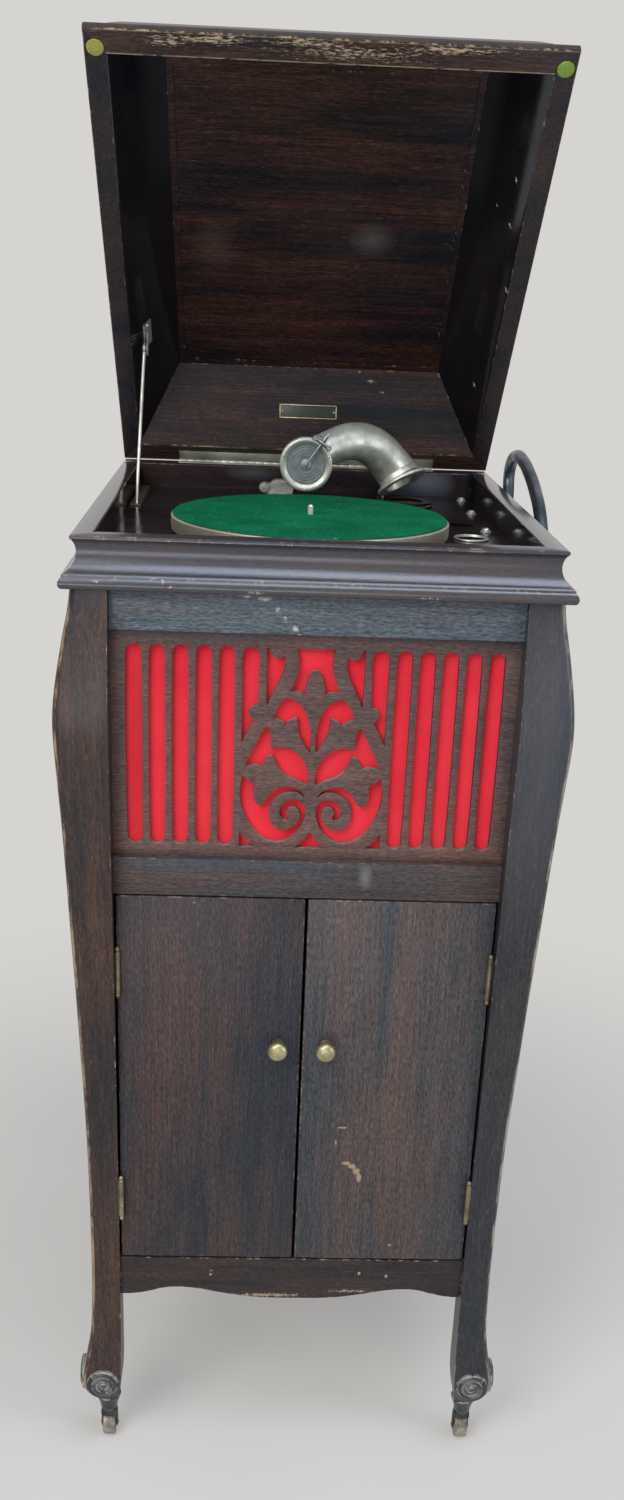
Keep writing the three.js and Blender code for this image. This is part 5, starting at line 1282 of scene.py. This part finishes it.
rolled = [(0, -6), (26.5, -6), (28.5, -5), (31.2, -4.5), (32.5, -3.6), (33, -2.2), (32.8, -1), (32, -0.2),
    (30.6, 0), (28, -0.4), (24, -0.5), (0, -0.5)]
bore = [(0, -26), (11, -26), (15, -20), (19.2, -11), (20.2, -3), (21.6, 0.5), (22.6, 3), (0, 3)]
flange, hole = on_flange("rolled_flange", rolled, 72), on_flange("arm_bore", bore, 48)
combine(arm, "UNION", flange)
combine(arm, "DIFFERENCE", hole)
lift_pin = rod("lift_pin", [LIFT_PIN + LIFT_AXIS * t for t in (-3.3, 0, 3.3)], 2.4, sides=16)
inlet = turned("arm_collar", [(0, 0), (12.2, 0), (13, 0.8), (13, 3.4), (12.2, 4.2), (0, 4.2)],
    (-6, 106, 1145), "y", steps=36)
done(glue("tonearm_dressed", arm, lift_pin, inlet), "arm_body", "arm_metal", arm_metal, angle=32,
    stands_for="tonearm")

# %% [markdown]
# The soundbox faces us like a small drum. A bright rim holds a grey diaphragm with faint
# pressed rings, and a screw in its centre ties it to the stylus bar. The bar climbs to
# the needle holder past two coil springs on screws, and the springs are real helices.

# %% Soundbox
BOX_AT = (-6.0, 99.0, 1145.0)
shell = turned("soundbox_shell", [(0, -6.4), (11.6, -6.4), (12.4, -5.9), (13, -4.7), (27, -4.7), (29.4, -4.2),
    (31, -2.9), (31.5, -1.6), (31.5, 1.4), (30.8, 1.9), (30.8, 2.7), (31.5, 3.2), (31.4, 4.9), (30.6, 6.1),
    (29.6, 6.6), (27.4, 6.6), (26.2, 6.2), (25.4, 5.4), (24.6, 5.2), (23.4, 4.3), (23.0, 2.2), (0, 2.2)],
    BOX_AT, "-y", steps=96)
drum = [(0, 1.4), (22.95, 1.4), (22.95, 2.45)]
for radius in (21.0, 17.5, 14.0, 10.5):
    drum += [(radius + 0.8, 2.5), (radius + 0.4, 2.62), (radius, 2.66), (radius - 0.4, 2.62),
        (radius - 0.8, 2.5)]
drum += [(6.4, 2.5), (0, 2.5)]
diaphragm = turned("soundbox_diaphragm", drum, BOX_AT, "-y", steps=72)
boss = turned("soundbox_boss", [(0, 2.3), (6.5, 2.3), (6.5, 3.4), (5.9, 4.0), (4.7, 4.1), (4.6, 5.3),
    (4.0, 5.6), (1.2, 5.6), (0, 5.3)], BOX_AT, "-y", steps=36)
pieces = [painted(shell, bright_nickel), painted(diaphragm, diaphragm_grey), painted(boss, old_nickel)]
SCREW_CIRCLE = 28.6
for angle in (math.radians(20), math.radians(160), math.radians(270)):
    at = (BOX_AT[0] + SCREW_CIRCLE * math.cos(angle), BOX_AT[1], BOX_AT[2] + SCREW_CIRCLE * math.sin(angle))
    screw = turned("soundbox_screw", [(0, 6.2), (1.7, 6.2), (1.6, 6.9), (1.0, 7.2), (0, 7.25)], at, "-y",
        steps=14)
    pieces.append(painted(screw, old_nickel))
done(glue("soundbox_drum", *pieces), "soundbox_body", "soundbox_metal", angle=34, stands_for="soundbox")

UP = math.radians(55)
along_bar = Vector((math.cos(UP), 0, math.sin(UP)))
across_bar = Vector((-math.sin(UP), 0, math.cos(UP)))


def by_bar(along, out, across=0.0):
    """A place beside the soundbox: along the stylus bar, out to the front, and across it."""
    spot = Vector(BOX_AT) + along_bar * along + across_bar * across
    return (spot.x, BOX_AT[1] - out, spot.z)


lever = rod("stylus_lever", [by_bar(-1, 7.6), by_bar(8, 7.8), by_bar(18, 8.3), by_bar(26, 8.6),
    by_bar(33, 8.6)], 1.4, sides=12, radii=[1.2, 1.25, 1.4, 1.8, 2.2])
yoke = rod("stylus_yoke", [by_bar(31.5, 9.2, s) for s in (-12.6, -6, 0, 6, 12.6)], 2.2, sides=12,
    radii=[1.7, 2.1, 2.6, 2.1, 1.7])
holder = rod("needle_holder", [by_bar(32, 9.2), by_bar(36, 9.2), by_bar(41, 9.2)], 2.7, sides=16,
    radii=[2.3, 2.7, 2.5])
needle = rod("needle", [by_bar(40, 9.2), by_bar(43, 9.2), by_bar(45.4, 9.2)], 0.8, sides=10,
    radii=[0.8, 0.7, 0.2])
parts = [lever, yoke, holder, needle]
screw_tip = turned("centre_screw", [(0, 5.4), (1.7, 5.4), (1.7, 8.6), (1.0, 9.1), (0, 9.1)], BOX_AT, "-y",
    steps=18)
parts.append(screw_tip)
for across in (-10, 10):
    head_at = by_bar(31.5, 0, across)
    head = turned("spring_screw", [(0, 9), (2.6, 9), (2.6, 13.8), (2.1, 14.8), (0, 14.9)], head_at, "-y",
        steps=20)
    parts.append(head)
    coil = []
    for i in range(41):
        a = i * math.pi / 4
        coil.append(by_bar(31.5 + 2.9 * math.cos(a), 9.6 + 4.2 * i / 40, across + 2.9 * math.sin(a)))
    parts.append(rod("spring_coil", coil, 0.38, sides=8))
side_screw = rod("needle_screw", [by_bar(37.5, 9.2, 2), by_bar(37.5, 9.2, 5), by_bar(37.5, 9.2, 7)], 1.5,
    sides=12, radii=[1.0, 1.3, 2.0])
parts.append(side_screw)
done(glue("stylus_bar_dressed", *parts), "soundbox_body", "steel", dark_steel, angle=40,
    stands_for="stylus_bar")
print("soundbox made")

# %% [markdown]
# ## Small fittings on the board
# Behind the soundbox lies a plated lever with a big slotted screw at its end, on a cast
# foot. The needle cup is a rolled ring let into the board, painted black inside as shade.
# Three bolts with washers hold the motor along the right wall, and the glossy wall mirrors them.

# %% Lever rest, needle cup and bolts
rest = sawn("rest_body", [[(-52, 1090), (-30, 1090), (-32, 1099.5), (-20, 1100.5), (-20, 1114), (-25, 1117.5),
    (-34, 1118), (-43, 1117), (-47, 1113.5), (-58, 1112.5), (-60.5, 1108), (-58, 1103), (-50, 1100)]], 162,
    10, edge=1.6, corner=60)
modified(rest, "casting", "SUBSURF", subdivision_type="SIMPLE", levels=2, render_levels=2)
random.seed(4)
for vertex in rest.data.vertices:
    if vertex.co.z - CENTRE.z > (BOARD_TOP + 2) * MM:
        vertex.co += Vector((random.uniform(-1, 1), random.uniform(-1, 1), random.uniform(-1, 1))) * 0.14 * MM
screw = turned("rest_screw", [(0, -1), (6.2, -1), (6.2, 2.4), (5.4, 3.4), (0, 3.9)], (-55, 162, 1108), "-y",
    steps=32)
slot_cut = board("slot_cut", (-70, 155, 1107.3), (-45, 159.4, 1108.8), edge=0)
about = Matrix.Translation(place(-55, 0, 1108))
slot_cut.data.transform(about @ spin(40, "Y") @ about.inverted())
combine(screw, "DIFFERENCE", slot_cut)
done(glue("arm_rest_lever", rest, screw), "cabinet", "iron", old_nickel, stands_for="arm_rest")

CUP_AT = (176, -60, BOARD_TOP)
cup = turned("needle_cup_turned", [(0, -9), (12, -8.4), (16.2, -5), (17.2, -0.4), (19.3, 0.1), (19.8, 0.9),
    (19.5, 1.9), (18.7, 2.4), (17.9, 2.2), (17.3, 1.2), (17, -1), (15.6, -5), (11.5, -7.4), (0, -7.9)],
    CUP_AT, steps=56)
# the inner wall and floor of the cup take the black lacquer: painted shade in its hollow
for polygon in cup.data.polygons:
    reach = math.hypot(*(polygon.center - place(*CUP_AT)).xy) / MM
    polygon.material_index = 1 if reach < 17.1 and polygon.center.z / MM < BOARD_TOP - 0.5 else 0
done(cup, "cabinet", "nickel", bright_nickel, black_lacquer, stands_for="needle_cup")

bolts = []
for x, y in ((201, 232), (200, 124), (199.5, -7.5)):
    bolts.append(turned("board_bolt", [(0, 0), (6.4, 0), (6.4, 0.7), (5.9, 1.0), (4.6, 1.0), (4.6, 2.6),
        (3.7, 3.8), (1.9, 4.5), (0, 4.7)], (x, y, BOARD_TOP), steps=28))
done(glue("motor_board_bolts", *bolts), "cabinet", "nickel", bright_nickel)
print("board fittings made")

# %% [markdown]
# ## Door furniture
# The knobs are turned brass on a round rosette. The hinges are brass barrels with three
# knuckles and an acorn at each end, and one leaf folds round the post's face.

# %% Knobs and hinges
for side, sign in SIDES:
    knob = turned(side + "_knob_turned", [(0, 0), (8, 0), (8, 0.8), (7.2, 1.5), (5.8, 1.9), (4.8, 3),
        (4.4, 5), (4.6, 7.5), (6.2, 9), (9.2, 10.6), (10.9, 12.8), (11.3, 15.2), (10.9, 17.6), (9.6, 19.8),
        (7.4, 21.4), (4.6, 22.3), (2, 22.6), (0, 22.7)], (sign * 26.5, FACE, 572), "-y", steps=56)
    # faces within 8.2 mm of the door take the darker brass: painted shade under the knob's head
    for polygon in knob.data.polygons:
        polygon.material_index = 1 if place(0, FACE, 0).y - polygon.center.y < 8.2 * MM else 0
    done(knob, side + "_door_body", "brass", aged_brass, knob_shade, angle=50, stands_for=side + "_knob")

AXIS_X, AXIS_Y, HINGE_HALF = 200.7, -291.6, 24
ACORN = [(0, -30.5), (1.1, -30.3), (2.4, -28.9), (2.9, -27.3), (2.5, -25.8), (1.7, -24.9), (2.2, -24.4),
    (2.9, -24)]
GROOVES = [(2.9, -8.6), (2.3, -8.1), (2.3, -7.9), (2.9, -7.4)]
for level, centre_z in (("upper", 659), ("lower", 368)):
    for side, sign in SIDES:
        barrel = turned("hinge_barrel", mirrored(ACORN + GROOVES, 1, -1), (sign * AXIS_X, AXIS_Y, centre_z),
            steps=24)
        parts = [barrel]
        for name, inner, y0, y1 in (("hinge_wing", 202.8, AXIS_Y, FACE + 20),
                ("hinge_tab", AXIS_X, -292.2, -291)):
            x0, x1 = sorted((sign * inner, sign * OPENING))
            parts.append(board(name, (x0, y0, centre_z - HINGE_HALF), (x1, y1, centre_z + HINGE_HALF),
                edge=0.2))
        node_name = "%s_%s_hinge" % (side, level)
        done(glue(node_name + "_turned", *parts), "cabinet", "brass", hinge_brass, angle=40,
            stands_for=node_name)
print("door furniture made")

# %% [markdown]
# ## The crank
# A bent steel bar carries a wooden grip. A curve with a round bevel gives the bend, and
# its two ends run into turned bosses.

# %% Crank and grip
BAR = [(-31, 1028), (-22, 1043), (-2, 1066), (22, 1089), (47, 1107.5), (85, 1124), (135, 1138.5),
    (190, 1147.5), (240, 1147.5), (277, 1133), (285.5, 1117.5), (281, 1100), (273, 1074), (268, 1036)]
PLANE = 269.5
bar = rod("crank_bar", [(PLANE, y, z) for y, z in BAR], 7.6, sides=24)
hub = turned("crank_hub", [(0, 244), (9.6, 244), (11, 245.4), (11, 258), (10.4, 259), (10.4, 260.4),
    (11, 261.4), (11, 278), (9.8, 279.6), (5.5, 280), (0, 280)], (0, -31, 1028), "x", steps=36)
shaft = turned("winding_shaft", [(0, 62.5), (19, 62.5), (19, 66.5), (6, 66.5), (6, 250), (0, 250)],
    (0, -31, 1028), "x", steps=32)
boss = turned("grip_boss", [(0, 261), (8, 261), (9.1, 262), (9.1, 277), (8.2, 278), (3, 278), (3, 318.6),
    (2.2, 319.5), (0, 319.5)], (0, 268, 1036), "x", steps=28)
done(glue("crank_forged", bar, hub, shaft, boss), "crank_body", "steel", crank_steel, angle=40,
    stands_for="crank")
grip = turned("crank_grip_turned", [(3.3, 0), (7.6, 0), (8.6, 0.8), (9.4, 2.4), (9.2, 5), (8.9, 8), (9.6, 12),
    (10.6, 17), (11, 21), (11, 26), (10.4, 30), (9.2, 33), (7.4, 34.7), (3.3, 35), (3.3, 0)],
    (278.5, 268, 1036), "x", steps=40)
done(grip, "grip_body", "stained_wood", case_along_x, angle=50, stands_for="crank_grip")
print("crank made")

# %% [markdown]
# ## Casters
# Each foot rolls on a small iron caster: a swivel plate, a crown with two cheeks, an axle
# with riveted ends, and a wheel with a worn tread.

# %% Casters and wheels
TRAIL = 4.0
AXLE = [(0, -10.9), (1.7, -10.9), (2.6, -10.3), (2.6, -9.8), (2, -9.6)]
TREAD = [(2.3, -7.5), (4.4, -7.5), (5, -6.9), (11.2, -6.6), (12.2, -7.4), (13.8, -7.5), (14.7, -6.8),
    (15, -5.4)]
for corner_name, sx, sy in CORNERS:
    x, y = sx * SWIVEL_X, sy * SWIVEL_Y
    axle_y = y + TRAIL
    stem = turned("caster_stem", [(0, 63.7), (10.4, 63.7), (11, 63.2), (11, 60.6), (10.2, 60), (8, 57.6),
        (7.3, 54), (7, 48), (7.1, 41.5), (0, 41.5)], (x, y, 0), steps=32)
    crown = board("caster_crown", (x - 9.8, y - 6, 32.5), (x + 9.8, y + 8, 41.8), edge=2.2)
    parts = [stem, crown]
    for side in (-1, 1):
        cheek_x = sorted((x + side * 8, x + side * 10))
        parts.append(board("caster_cheek", (cheek_x[0], axle_y - 3.6, 11), (cheek_x[1], axle_y + 4.4, 35),
            edge=0.7))
    parts.append(turned("caster_axle", mirrored(AXLE, 1, -1), (x, axle_y, 15), "x", steps=20))
    done(glue(corner_name + "_caster_forged", *parts), corner_name + "_caster_body", "caster_metal",
        rough_iron, stands_for=corner_name + "_caster")
    wheel = turned(corner_name + "_wheel_turned", mirrored(TREAD, 1, -1) + TREAD[:1], (x, axle_y, 15), "x",
        steps=48)
    done(wheel, corner_name + "_wheel_body", "caster_metal", caster_iron, angle=40,
        stands_for=corner_name + "_wheel")
print("casters made")
